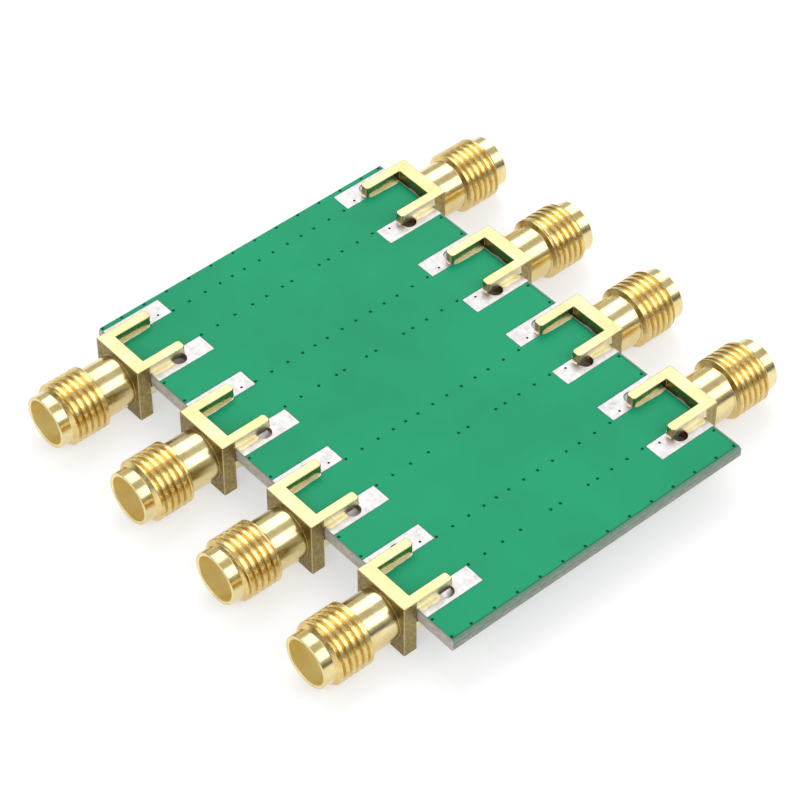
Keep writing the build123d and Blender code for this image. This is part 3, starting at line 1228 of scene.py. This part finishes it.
@dataclass
class Jack:
    """An edge-mounted coaxial jack: shell with thread and legs, insulator, contact and solder.

    A plug is given by how far its upper face lies below the pad, and by how far that face falls
    for each millimetre away from the jack. The plugs on one side differ by channel.
    """

    seat: Seat
    # The milled block: flange and legs, with the legs' lowest and highest b
    flange: float = 6.35
    flange_depth: float = 1.5
    leg_width: float = 1.075
    leg_length: float = 4.2
    upper_leg: Pair = (2.1, 3.175)
    lower_leg: Pair = (-0.6, 0.5)
    edge_radius: float = 0.09
    edge_share: float = 0.2
    tip_radius: float = 0.32
    # The turned barrel: neck, thread, nose and mouth
    columns: int = 144
    root_in_flange: float = 0.9
    neck_radius: float = 2.65
    neck_length: float = 3.2
    neck_flare: float = 0.02
    shoulder_break: Pair = (0.06, 0.02)
    thread_radius: float = 3.175
    thread_root: float = 2.86
    thread_length: float = 4.2
    thread_pitch: float = 0.7056
    thread_start: float = 0.37
    root_share: float = 0.03
    groove_share: float = 0.26
    collar: float = 0.3
    run_out: float = 0.35
    neck_cone: Pair = (0.06, 2.2)
    nose_cone: Pair = (0.04, 1.3)
    rows_per_pitch: int = 28
    nose_radius: float = 2.7
    nose_length: float = 1.2
    rim_radius: float = 0.08
    lead_in: float = 0.12
    lead_bow: Pair = (0.4, 0.3)
    mouth_radius: float = 2.32
    mouth_depth: float = 2.5
    floor_break: float = 0.03
    # The insulator, with a groove from its first radius to its second, and the contact
    insulator_radius: float = 2.05
    insulator_gap: float = 0.01
    insulator_back: float = -0.02
    insulator_break: float = 0.05
    insulator_lip: float = 0.06
    insulator_groove: Pair = (1.0, 1.5)
    insulator_points: int = 64
    contact_radius: float = 0.635
    contact_points: int = 32
    contact_step: Pair = (0.02, -0.03)
    socket_radius: float = 0.465
    socket_depth: float = 2.6
    slot_width: float = 0.25
    slot_depth: float = 1.8
    finger_lip: float = 0.06
    finger_steps: int = 8
    tail_radius: float = 0.5
    tail_length: float = 3.6
    tail_break: float = 0.12
    # The solder: reach on the pad and up the leg, at the start and at the end of each run
    pad_top: float = 2.1
    outer_start: float = 0.2
    outer_foot: Pair = (0.44, 0.36)
    outer_rise: Pair = (0.06, 0.05)
    outer_bulge: float = 0.6
    inner_start: float = 0.12
    inner_foot: Pair = (0.34, 0.22)
    inner_rise: Pair = (0.08, 0.05)
    inner_bulge: float = 0.8
    tip_foot: Pair = (0.16, 0.16)
    tip_rise: Pair = (0.16, 0.16)
    tip_gap: float = 0.2
    tail_start: float = 0.35
    tail_gap: float = 0.05
    tail_offset: float = 0.24
    tail_foot: Pair = (0.42, 0.42)
    tail_rise: Pair = (0.4, 0.4)
    swell_shifts: Pair = (1.7, 1.1)
    # The plugs in the plated holes
    hole_start: float = 2.62
    hole_centre: float = 3.35
    hole_offset: float = 3.2
    hole_radius: float = 0.74
    front_plugs: tuple[Pair, ...] = ((0.85, 0.3), (0.6, 0.5), (0.75, 0.4), (0.5, 0.65))
    back_plugs: tuple[Pair, ...] = ((0.9, 0.1), (1.0, 0.1), (0.8, 0.1), (1.0, 0.1))
    full_plug: Pair = (0.12, 0.0)
    plug_cup: float = 0.12
    plug_brim: float = 0.03
    plug_rings: tuple[float, ...] = (0.1, 0.35, 0.6, 0.8, 1.0)
    plug_points: int = 24

    @property
    def mouth(self) -> float:
        """Distance of the mouth from the flange's back face."""
        return self.flange_depth + self.neck_length + self.thread_length + self.nose_length

    @property
    def floor(self) -> float:
        """Distance of the mouth's floor from the flange's back face."""
        return self.mouth - self.mouth_depth

    def thread_rows(self) -> tuple[np.ndarray, np.ndarray]:
        """Rows of the threaded stretch.

        The groove is one helix: its phase is the distance along the barrel in pitches, less the
        turn angle in turns. Its depth over the phase is a V with a wide flat crest between the
        turns and a narrow flat root. It runs out to nothing at both ends, which cones cut off.

        Returns:
            Radii, rows by columns, and the distance of each row.
        """
        start = self.flange_depth + self.neck_length
        rows = int(round(self.thread_length / self.thread_pitch * self.rows_per_pitch))
        t = np.linspace(start, start + self.thread_length, rows + 1)[:, None]
        angle = np.linspace(0, 2 * np.pi, self.columns, endpoint=False)[None, :]
        # Threads start anywhere round the barrel, so each jack's is turned on from the last one's
        turn = self.seat.number * self.thread_start + (0.5 if self.seat.end is End.BACK else 0.0)
        phase = ((t - start) / self.thread_pitch - angle / (2 * np.pi) + turn) % 1.0
        from_root = np.abs(phase - 0.5)
        groove = 1 - np.clip((from_root - self.root_share) / (self.groove_share - self.root_share), 0, 1)
        from_neck, from_nose = t - start, start + self.thread_length - t
        fade = np.clip((from_neck - self.collar) / self.run_out, 0, 1)
        fade = fade * np.clip(from_nose / self.run_out, 0, 1)
        radius = self.thread_radius - (self.thread_radius - self.thread_root) * groove * fade
        near_neck = self.neck_radius + self.neck_cone[0] + from_neck * self.neck_cone[1]
        near_nose = self.nose_radius + self.nose_cone[0] + from_nose * self.nose_cone[1]
        return np.minimum(radius, np.minimum(near_neck, near_nose)), t[:, 0]

    def barrel(self) -> Shell:
        """The turned barrel: a profile from inside the flange out to the mouth, and its bore back.

        Returns:
            The closed shell, at the seat, with its finishes as slots.
        """
        neck_end = self.flange_depth + self.neck_length
        crest_end = neck_end + self.thread_length
        flare, rim, lead, root = self.neck_flare, self.rim_radius, self.lead_in, self.root_in_flange
        wide, narrow = self.shoulder_break
        before = [(self.insulator_radius, root), (self.neck_radius + flare, root)]
        before += arc((self.neck_radius + flare, self.flange_depth + flare), flare, 270, 180, 8)
        before += [(self.neck_radius, neck_end - wide), (self.neck_radius + narrow, neck_end - narrow)]
        nose = [(self.nose_radius + narrow, crest_end + narrow), (self.nose_radius, crest_end + wide)]
        nose += arc((self.nose_radius - rim, self.mouth - rim), rim, 0, 90, 6)
        bore = [(self.mouth_radius + lead, self.mouth)]
        bore += [(self.mouth_radius + self.lead_bow[0] * lead, self.mouth - self.lead_bow[1] * lead)]
        bore += [(self.mouth_radius, self.mouth - lead), (self.mouth_radius, self.floor + self.floor_break)]
        bore += [(self.mouth_radius - self.floor_break, self.floor), (self.insulator_radius, self.floor)]
        threaded, thread_t = self.thread_rows()
        plain = [np.array(rows) for rows in (before, nose, bore)]
        stretches = [(np.repeat(rows[:, :1], self.columns, 1), rows[:, 1]) for rows in plain]
        stretches.insert(1, (threaded, thread_t))
        radii, distances = zip(*stretches)
        shell = lathe(np.vstack(radii), np.concatenate(distances))
        # The bore takes the paler gold, which is painted light inside the mouth
        kinds = (BrassFinish.TURNED, BrassFinish.CUT, BrassFinish.TURNED, BrassFinish.BORED)
        slots = [np.full(len(radius), kind) for kind, radius in zip(kinds, radii)]
        shell.slot = np.repeat(np.concatenate(slots), self.columns)
        return shell

    def flange_block(self) -> Shell:
        """The flange with its four legs, as one block with rounded edges.

        The block is milled. Its upright sides keep the sawn finish of the bar, its front is faced
        when the barrel is turned, and solder wets the legs' outer sides. The finishes of the sides and
        the front are darker, which is painted shade, darkest on the front. A face belongs to a side
        where it lies nearer to it than a share of the rounded edges.

        Returns:
            The closed shell, at the seat, with its finishes as slots.
        """
        half, inner = self.flange / 2, self.flange / 2 - self.leg_width
        across = (-half, -inner, inner, half)
        up = (-half, *self.lower_leg, self.upper_leg[0], half)
        along = (-self.leg_length, 0.0, self.flange_depth)
        plate = [(i, j, 1) for i in range(3) for j in range(4)]
        legs = [(i, j, 0) for i in (0, 2) for j in (1, 3)]
        grid = (across, up, along)
        shell = bevelled_cells(grid, plate + legs, self.edge_radius, tip_radius=self.tip_radius)
        near = self.edge_share * self.edge_radius
        spans = [shell.points[list(face)] for face in shell.faces]
        upright = np.array([np.ptp(span[:, 1]) > 2 * self.edge_radius for span in spans])
        wide = np.array([max(np.ptp(span[:, 0]), np.ptp(span[:, 2])) > self.edge_radius for span in spans])
        on_plate = np.array([span[:, 2].mean() > -self.edge_radius for span in spans])
        outside = np.array([abs(span[:, 0].mean()) > half - near for span in spans])
        front = np.array([span[:, 2].min() > self.flange_depth - near for span in spans])
        # Painted shade: the front takes the darkest gold and the upright sides a darker one, standing for the
        # dark reflections on these faces
        plate_slot = np.where(front, BrassFinish.FACED, BrassFinish.SAWN)
        leg_slot = np.where(outside & ~on_plate, BrassFinish.SOLDER, BrassFinish.MILLED)
        shell.slot = np.where(upright & on_plate & wide, plate_slot, leg_slot)
        return shell

    def insulator(self) -> Shell:
        """The insulator: a thick ring with a shallow turned groove in its front face.

        Returns:
            The closed shell, at the seat.
        """
        outer, inner = self.insulator_radius, self.contact_radius + self.insulator_gap
        front = self.floor
        back, cut, lip = self.insulator_back, self.insulator_break, self.insulator_lip
        low, high = self.insulator_groove
        profile = [(inner, back), (outer - cut, back), (outer, back + cut), (outer, front - lip)]
        profile += [(outer - lip, front), (high, front), (high - cut, front - cut), (low + cut, front - cut)]
        profile += [(low, front), (inner + cut, front), (inner, front - cut)]
        return turned(profile, self.insulator_points)

    def finger(self, middle: float) -> Shell:
        """One of the four spring fingers of the contact's socket.

        Its cross-section is a ring sector between two slots, and its lip is rounded.

        Args:
            middle: the turn angle of its middle.

        Returns:
            The closed shell, at the seat.
        """
        outer, inner, lip = self.contact_radius, self.socket_radius, self.finger_lip
        top, low = self.floor, self.floor - self.slot_depth
        reach = np.pi / 4 - math.asin(self.slot_width / 2 / inner)
        angle = middle + np.linspace(-reach, reach, self.finger_steps)
        profile = [(inner, low), (outer, low), (outer, top - lip), (outer - lip, top), (inner + lip, top)]
        profile += [(inner, top - lip)]
        radius, height = (np.array(values)[:, None] for values in zip(*profile))
        places = (radius * np.cos(angle), radius * np.sin(angle), np.repeat(height, len(angle), 1))
        rows, columns = len(profile), len(angle)
        faces = grid_faces(rows, columns, True, False)
        faces.append(tuple(i * columns for i in range(rows)))
        faces.append(tuple(i * columns + columns - 1 for i in reversed(range(rows))))
        return Shell(np.stack(places, -1).reshape(-1, 3), faces)

    def contact(self) -> list[Shell]:
        """The contact: a rod with a rounded tail, a bored socket and four fingers.

        Returns:
            The closed shells, at the seat.
        """
        low, bottom = self.floor - self.slot_depth, self.floor - self.socket_depth
        tail, thick, end = self.tail_radius, self.contact_radius, -self.tail_length
        profile = [(self.socket_radius, bottom), (self.socket_radius, low), (thick, low)]
        profile += [(thick, self.contact_step[0]), (tail, self.contact_step[1])]
        profile += [(tail, end + self.tail_break), (tail - self.tail_break, end)]
        rod = turned(profile, self.contact_points, capped=True)
        return [rod] + [self.finger(np.pi / 4 + i * np.pi / 2) for i in range(4)]

    def plug(self, side: int) -> Shell:
        """Solder that stands in the plated hole beside a leg.

        Its upper face is a shallow cup, tilted down and away from the leg: its height falls
        with the distance across by the slope, and rises with the square of the distance from
        the hole's centre. The holes on one side of every jack took more solder than the others.

        Args:
            side: -1 or 1, the side of the jack that the leg is on.

        Returns:
            The closed shell, at the seat.
        """
        plugs = self.front_plugs if self.seat.end is End.FRONT else self.back_plugs
        sunk = side * self.seat.end.value < 0
        depth, slope = plugs[self.seat.number - 1] if sunk else self.full_plug
        share = np.array(self.plug_rings)
        radius = np.concatenate([share, share[::-1]])[:, None] * self.hole_radius
        radius = np.repeat(radius, self.plug_points, 1)
        shell = lathe(radius, np.zeros(len(radius)), JointFinish.TIN, capped=True)
        across, along = shell.points[:, 0], shell.points[:, 1]
        spread = (across**2 + along**2) / self.hole_radius**2
        upper = self.pad_top - depth - slope * across + self.plug_cup * (spread - 1)
        below = self.lower_leg[1] + self.plug_cup * (2 - spread)
        is_upper = np.arange(len(across)) < len(share) * self.plug_points
        b = np.where(is_upper, np.minimum(upper, self.pad_top - self.plug_brim), below)
        return outward(moved(shell, side * (self.hole_offset + across), b, along - self.hole_centre))

    def solder(self) -> list[Shell]:
        """The solder: along both sides of every leg, at its tip, in the holes and along the tail.

        Each run is a fillet in the corner between a pad and a wall, turned and moved to there.

        Returns:
            The closed shells, at the seat.
        """
        shells: list[Shell] = []
        outer, inner = self.flange / 2, self.flange / 2 - self.leg_width
        leg_end, gap = -self.leg_length, self.tip_gap
        by_channel, by_leg = self.swell_shifts
        seed = self.seat.number * by_channel + self.seat.end.value
        for side in (-1, 1):
            for face, up in ((self.pad_top, 1), (self.lower_leg[1], -1)):
                seed += by_leg
                foot, rise, bulge = self.outer_foot, self.outer_rise, self.outer_bulge
                outer_run = fillet(-self.outer_start, -self.hole_start, foot, rise, seed, bulge)
                foot, rise, bulge = self.inner_foot, self.inner_rise, self.inner_bulge
                inner_run = fillet(-self.inner_start, leg_end + gap, foot, rise, seed, bulge)
                for run, wall, way in ((outer_run, outer, side), (inner_run, inner, -side)):
                    out, above, along = run.points.T
                    shells.append(moved(run, side * wall + way * out, face + up * above, along))
                tip = fillet(inner + gap, outer - gap, self.tip_foot, self.tip_rise, seed)
                out, above, across = tip.points.T
                shells.append(moved(tip, side * across, face + up * above, leg_end - out))
            shells.append(self.plug(side))
            tail_end = self.tail_gap - self.tail_length
            tail = fillet(-self.tail_start, tail_end, self.tail_foot, self.tail_rise, seed)
            out, above, along = tail.points.T
            shells.append(moved(tail, side * (self.tail_offset + out), self.tail_radius - above, along))
        return shells

    def build(self, finishes: Finishes) -> None:
        """Builds and dresses the jack's pieces, each in place of its CAD node.

        Args:
            finishes: the object's materials by name.
        """
        brass, seat = dress(BrassFinish, finishes), self.seat
        jobs = (
            ("shell", [self.barrel(), self.flange_block()], brass, "gold_plated_brass"),
            ("insulator", [self.insulator()], [finishes["resin"]], "white_fluoropolymer"),
            ("contact", self.contact(), [finishes["turned"]], "gold_plated_brass"),
        )
        for part, shells, materials, slot in jobs:
            piece = build_piece(f"{seat.node(part)}_turned", [seat.place(s) for s in shells], materials)
            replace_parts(piece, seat.node(part))
        joints = [seat.place(shell) for shell in self.solder()]
        build_piece(seat.node("solder"), joints, dress(JointFinish, finishes))


@dataclass
class Chip:
    """A chip resistor that hangs under the board: alumina body, dark glaze and two wrapped caps.

    Its shapes are given as (along, across, down) from the middle of its seat on the lands.
    """

    x: float
    y: float
    along_y: bool
    face_z: float
    length: float = 2.0
    width: float = 1.25
    height: float = 0.5
    edge: float = 0.02
    body_inset: Pair = (0.03, 0.01)
    body_down: Pair = (0.02, 0.46)
    cap: float = 0.4
    cap_edge: float = 0.06
    glaze_overlap: float = 0.02
    glaze_inset: float = 0.03
    glaze_down: Pair = (0.42, 0.495)
    land_length: float = 0.95
    land_width: float = 1.4
    land_toe: float = 0.35
    land_edge: float = 0.015
    plating: float = 0.05
    solder_inset: float = 0.03
    solder_foot: float = 0.9
    solder_rise: float = 0.8

    def turn(self, shell: Shell) -> Shell:
        """Turns a shell to the frame.

        Args:
            shell: the shell, in (along, across, down).

        Returns:
            The same surface in x, y and z.
        """
        along, across, down = shell.points.T
        x, y = (across, along) if self.along_y else (along, across)
        return moved(shell, self.x + x, self.y + y, self.face_z - down)

    def body(self) -> list[Shell]:
        """The white body, and the dark glaze on its lower face.

        Returns:
            The two closed shells, in the frame.
        """
        reach, half = self.length / 2 - self.body_inset[0], self.width / 2 - self.body_inset[1]
        low, high = self.body_down
        body = block((-reach, -half, low), (reach, half, high), self.edge, ChipFinish.ALUMINA)
        reach, half = self.length / 2 - self.cap + self.glaze_overlap, self.width / 2 - self.glaze_inset
        low, high = self.glaze_down
        glaze = block((-reach, -half, low), (reach, half, high), self.edge, ChipFinish.GLAZE)
        return [self.turn(body), self.turn(glaze)]

    def caps(self) -> list[Shell]:
        """The metal caps at both ends.

        Returns:
            The two closed shells, in the frame.
        """
        outer, inner, half = self.length / 2, self.length / 2 - self.cap, self.width / 2
        spans = ((-outer, -inner), (inner, outer))
        return [self.turn(block((a, -half, 0.0), (b, half, self.height), self.cap_edge)) for a, b in spans]

    def lands(self) -> list[Shell]:
        """The tinned lands, flush with the copper.

        Returns:
            The two closed shells, in the frame.
        """
        outer, half = self.length / 2 + self.land_toe, self.land_width / 2
        inner = outer - self.land_length
        spans = ((-outer, -inner), (inner, outer))
        return [self.turn(block((a, -half, -self.plating), (b, half, 0.0), self.land_edge)) for a, b in spans]

    def solder(self) -> list[Shell]:
        """A hollow slope of solder from each cap's end down to its land's toe.

        Returns:
            The two closed shells, in the frame.
        """
        reach, rise = self.solder_foot * self.land_toe, self.solder_rise * self.height
        half = self.width / 2 - self.solder_inset
        shells: list[Shell] = []
        for side in (-1, 1):
            run = fillet(-half, half, (reach, reach), (rise, rise), side + self.x)
            out, down, across = run.points.T
            shells.append(self.turn(moved(run, side * (self.length / 2 + out), across, down)))
        return shells


@dataclass
class Network:
    """One channel's three chip resistors, with their lands and solder."""

    number: int
    x: float
    face_z: float
    line_y: float
    shunt_y: Pair
    shunt_offset: float = 1.25

    def build(self, finishes: Finishes) -> None:
        """Builds and dresses the network's pieces, each in place of its CAD node.

        Args:
            finishes: the object's materials by name.
        """
        number, beside = self.number, self.x + self.shunt_offset
        chips = {
            f"line_resistor_{number}": Chip(self.x, self.line_y, True, self.face_z),
            f"front_shunt_resistor_{number}": Chip(beside, self.shunt_y[0], False, self.face_z),
            f"back_shunt_resistor_{number}": Chip(beside, self.shunt_y[1], False, self.face_z),
        }
        ceramic, tin = dress(ChipFinish, finishes), [finishes["tin"]]
        for node, chip in chips.items():
            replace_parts(build_piece(f"{node}_chip", chip.body(), ceramic), node)
        caps = [shell for chip in chips.values() for shell in chip.caps()]
        piece = build_piece(f"resistor_caps_{number}_wrapped", caps, tin)
        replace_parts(piece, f"resistor_caps_{number}")
        lands = [shell for chip in chips.values() for shell in chip.lands()]
        piece = build_piece(f"resistor_lands_{number}_levelled", lands, tin)
        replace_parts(piece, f"resistor_lands_{number}")
        runs = [shell for chip in chips.values() for shell in chip.solder()]
        build_piece(f"resistor_solder_{number}", runs, [finishes["solder"]])


@dataclass
class Studio:
    """The floor, the lamps, the dim surroundings and the camera.

    A band is the stretch of a direction's x, y or z over which the surroundings change.
    """

    azimuth: float = 49.30
    elevation: float = 46.26
    roll: float = -0.19
    place: Way = (156.31, -136.21, 220.06)
    lens: float = 144.18
    sensor: float = 36.0
    near_clip: float = 0.01
    lamp_distance: float = 0.6
    left_way: Way = (-0.47, 0.40, 0.76)
    left_size: Pair = (0.56, 0.42)
    right_way: Way = (0.60, 0.40, 0.66)
    right_size: Pair = (0.56, 0.33)
    box_radiance: float = 2.25
    front_way: Way = (0.0, -0.80, 0.55)
    front_size: Pair = (0.60, 0.30)
    front_radiance: float = 1.6
    room: float = 0.60
    room_least: float = 0.08
    low_band: Pair = (0.15, 0.45)
    right_band: Pair = (0.2, 0.7)
    right_loss: float = -0.46
    front_band: Pair = (-0.7, -0.15)
    rise_band: Pair = (0.2, 0.5)
    front_low: float = -0.46
    front_high: float = 0.02
    floor_size: float = 12.0
    floor_glow: float = 0.56
    paper: str = "B8B8B8"
    paper_roughness: float = 0.9
    paper_gleam: float = 0.1

    def camera(self) -> None:
        """Places the camera and turns it by its azimuth, elevation and roll."""
        a, e = math.radians(self.azimuth), math.radians(self.elevation)
        back = Vector((math.sin(a) * math.cos(e), -math.cos(a) * math.cos(e), math.sin(e)))
        right = Vector((math.cos(a), math.sin(a), 0.0))
        up = back.cross(right)
        turn = Matrix((right, up, back)).transposed() @ Matrix.Rotation(math.radians(self.roll), 3, "Z")
        data = bpy.data.cameras.new("camera")
        data.lens = self.lens
        data.sensor_width = self.sensor
        data.clip_start = self.near_clip
        camera = bpy.data.objects.new("camera", data)
        camera.matrix_world = Matrix.Translation(Vector(self.place) * MM) @ turn.to_4x4()
        bpy.context.scene.collection.objects.link(camera)
        bpy.context.scene.camera = camera

    def lamp(
        self,
        name: str,
        toward: Way,
        along: Way,
        size: Pair,
        radiance: float,
    ) -> None:
        """Hangs a soft box with one side along a level axis, turned about it to face the object.

        Args:
            name: the lamp's name.
            toward: direction from the object to the lamp.
            along: the axis that its first side follows.
            size: that side and the other one, in metres.
            radiance: how bright its face looks, where 1 is white.
        """
        data = bpy.data.lights.new(name, "AREA")
        data.shape = "RECTANGLE"
        data.size, data.size_y = size
        data.energy = radiance * math.pi * size[0] * size[1]
        lamp = bpy.data.objects.new(name, data)
        way, side = Vector(toward).normalized(), Vector(along)
        back = (way - side * way.dot(side)).normalized()
        turn = Matrix((side, back.cross(side), back)).transposed().to_4x4()
        lamp.matrix_world = Matrix.Translation(way * self.lamp_distance) @ turn
        bpy.context.scene.collection.objects.link(lamp)

    def surroundings(self) -> None:
        """Lights the world: a grey room, darker low in front and low on the right.

        Its level is the room's, with the right side's loss added where the direction is low and
        to the right, and with an amount that rises with the height added where it is in front.
        """
        world = bpy.data.worlds.new("room")
        bpy.context.scene.world = world
        world.use_nodes = True
        tree = world.node_tree
        tree.nodes.clear()
        way = add_node(tree, "TexCoord", output="Generated")
        x, y, z = (add_node(tree, "SeparateXYZ", links={0: way}, output=axis) for axis in "XYZ")
        falls = {"To Min": 1.0, "To Max": 0.0}
        links = {"Value": z, "From Min": self.low_band[0], "From Max": self.low_band[1]} | falls
        low = add_node(tree, "MapRange", links=links)
        links = {"Value": x, "From Min": self.right_band[0], "From Max": self.right_band[1]}
        right = add_node(tree, "MapRange", links=links)
        dark = add_node(tree, "Math", {"operation": "MULTIPLY"}, {0: low, 1: right})
        links = {0: dark, 1: self.right_loss, 2: self.room}
        level = add_node(tree, "Math", {"operation": "MULTIPLY_ADD"}, links)
        links = {"Value": y, "From Min": self.front_band[0], "From Max": self.front_band[1]} | falls
        front = add_node(tree, "MapRange", links=links)
        links = {"Value": z, "From Min": self.rise_band[0], "From Max": self.rise_band[1]}
        links |= {"To Min": self.front_low, "To Max": self.front_high}
        rise = add_node(tree, "MapRange", links=links)
        level = add_node(tree, "Math", {"operation": "MULTIPLY_ADD"}, {0: front, 1: rise, 2: level})
        level = add_node(tree, "Math", {"operation": "MAXIMUM"}, {0: level, 1: self.room_least})
        shade = add_node(tree, "Background", links={"Color": WHITE, "Strength": level})
        add_node(tree, "OutputWorld", links={"Surface": shade})

    def floor(self) -> None:
        """Lays the plain white floor at the height that the flanges rest on.

        Matt paper has hardly any gleam. It glows to what the camera, metal and glass see, so
        that it shows white, and adds no light to the object.
        """
        material, tree, _ = start_material("Matt white paper floor")
        seen = add_node(tree, "LightPath", output="Is Camera Ray")
        for kind in ("Is Glossy Ray", "Is Transmission Ray"):
            ray = add_node(tree, "LightPath", output=kind)
            seen = add_node(tree, "Math", {"operation": "ADD"}, {0: seen, 1: ray})
        glow = add_node(tree, "Math", {"operation": "MULTIPLY"}, {0: seen, 1: self.floor_glow})
        sockets = {"Base Color": linear(self.paper), "Roughness": self.paper_roughness}
        sockets |= {"Specular IOR Level": self.paper_gleam, "Emission Color": WHITE}
        end_material(tree, sockets | {"Emission Strength": glow})
        half = self.floor_size / 2
        square = [(-half, -half, 0), (half, -half, 0), (half, half, 0), (-half, half, 0)]
        mesh = bpy.data.meshes.new("floor")
        mesh.from_pydata(square, [], [(0, 1, 2, 3)])
        mesh.materials.append(material)
        floor = bpy.data.objects.new("floor", mesh)
        bpy.context.scene.collection.objects.link(floor)

    def build(self) -> None:
        """Sets the whole studio up."""
        self.camera()
        channels, across = (0, 1, 0), (1, 0, 0)
        self.lamp("soft_box_left", self.left_way, channels, self.left_size, self.box_radiance)
        self.lamp("soft_box_right", self.right_way, channels, self.right_size, self.box_radiance)
        self.lamp("soft_box_front", self.front_way, across, self.front_size, self.front_radiance)
        self.surroundings()
        self.floor()
        bpy.context.scene.view_settings.view_transform = "Standard"


def make_finishes(board: CircuitBoard, pads: LegPads) -> Finishes:
    """Makes every finish of the object once.

    Args:
        board: says where the copper and the cut edges lie.
        pads: the leg pads, which the mask clears.

    Returns:
        The materials, by the names that the pieces ask for.
    """
    torn = {"grain_size": 0.12, "grain_depth": 0.006, "cloud_size": 0.9}
    fine = {"ring_depth": 0.0004, "grain_size": 0.12, "grain_depth": 0.006}
    coarse = {"ring_depth": 0.0004, "grain_size": 0.25, "grain_depth": 0.02, "cloud_size": 0.35}
    flowed = {"swell_size": 0.8, "swell_depth": 0.004}
    plain = {
        # Warm gold: smooth and glossy where turned, dull and torn where cut, sawn or faced. The bore's paler
        # colour is painted light, and the darker browns of the sawn and faced ones are painted shade
        "turned": GoldFlash("Gold flash on turned brass"),
        "cut": GoldFlash("Gold flash on cut thread", "E6CF90", "D8BC78", 0.25, **torn),
        # Painted light: the bore's gold is paler than the turned one, to brighten the inside of the mouth
        "bored": GoldFlash("Gold flash on bored brass", "FFF4BE", "FBE6A4", 0.5),
        "milled": GoldFlash("Gold flash on milled brass", "BDB187", "AFA274", 0.24, **fine),
        # Painted shade: the faced and sawn golds are darker browns, for the dark reflections on the flange's
        # front and sides
        "faced": GoldFlash("Gold flash on faced brass", "94824F", "786638", 0.36, **coarse),
        "sawn": GoldFlash("Gold flash on sawn brass", "AE9C63", "8F7E4F", 0.38, **coarse),
        # Satin white pads, solder that took up some of the gold, and hole walls in a dark brown that is
        # painted shade inside the holes
        "tin": Tin("Tinned copper, hot-air levelled", "BDBABA", "AEABAB", 0.40, swell_depth=0.012),
        "solder": Tin("Solder, tin and copper", "F0E8C9", "E5DCB6", 0.38, **flowed),
        # Painted shade: the tin of the hole walls is a dark brown
        "plating": Tin("Tinned wall of a plated hole", "B09058", "7C5C2E", 0.3),
        # Waxy white resin, matt off-white alumina, and glaze as dark and glossy as glass
        "resin": Dielectric("Fluoropolymer, machined", "F4F4F0", "E9E9E3", 0.45, 1.36, 0.4, 0.004),
        "alumina": Dielectric("Alumina, fired", "E6E4DE", "D6D3CB", 0.55, 1.76, 0.1, 0.002),
        "glaze": Dielectric("Resistor glaze, dark", "17181B", "0D0E10", 0.25, 1.5, 0.2, 0.002),
    }
    cuts = {
        "routed": CutLaminate("FR4 laminate, routed edge", "E8E4DE", "B2ADA5", "93A698", 0.3),
        # The darker greys of the snapped edge are partly painted shade
        "scored": CutLaminate("FR4 laminate, snapped edge", "BCBEB6", "868B83", "5F8B74", 0.8),
    }
    materials = {name: finish.make() for name, finish in plain.items()}
    materials |= {name: finish.make(board) for name, finish in cuts.items()}
    return materials | {"mask": SolderMask().make(board, pads)}


def corners(node: str) -> tuple[np.ndarray, np.ndarray]:
    """Lowest and highest corner of a CAD node, in millimetres."""
    low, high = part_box(node)
    return np.array(low) / MM, np.array(high) / MM


def middle(node: str) -> list[float]:
    """Middle of a CAD node's box, in millimetres."""
    return np.mean(corners(node), axis=0).tolist()


def main() -> None:
    """Builds the attenuator's visual model in order, and reports each piece."""
    logging.basicConfig(level=logging.INFO, format="%(name)s: %(message)s")
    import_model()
    Studio().build()

    numbers = range(1, CHANNEL_COUNT + 1)
    channel_x = [middle(f"front_insulator_{number}")[0] for number in numbers]
    low, high = corners("circuit_board")
    board = CircuitBoard(channel_x, float(high[0]), float(high[1]), float(low[2]), float(high[2]))
    pads = LegPads(Face.GROUND)
    finishes = make_finishes(board, pads)
    board.build(finishes)
    pads.build(board, finishes, "ground_pads")
    LegPads(Face.COMPONENT).build(board, finishes, "lower_leg_pads")
    LinePads().build(channel_x, finishes, "line_pads")

    for number, x in zip(numbers, channel_x):
        kinds = ("line", "front_shunt", "back_shunt")
        line_y, *shunt_y = (middle(f"{kind}_resistor_{number}")[1] for kind in kinds)
        face_z = float(corners(f"line_resistor_{number}")[1][2])
        Network(number, x, face_z, line_y, tuple(shunt_y)).build(finishes)
        for end in End:
            low, high = corners(f"{end.word}_insulator_{number}")
            back_y = high[1] if end is End.FRONT else low[1]
            Jack(Seat(x, float((low[2] + high[2]) / 2), float(back_y), end, number)).build(finishes)


if __name__ == "__main__":
    main()
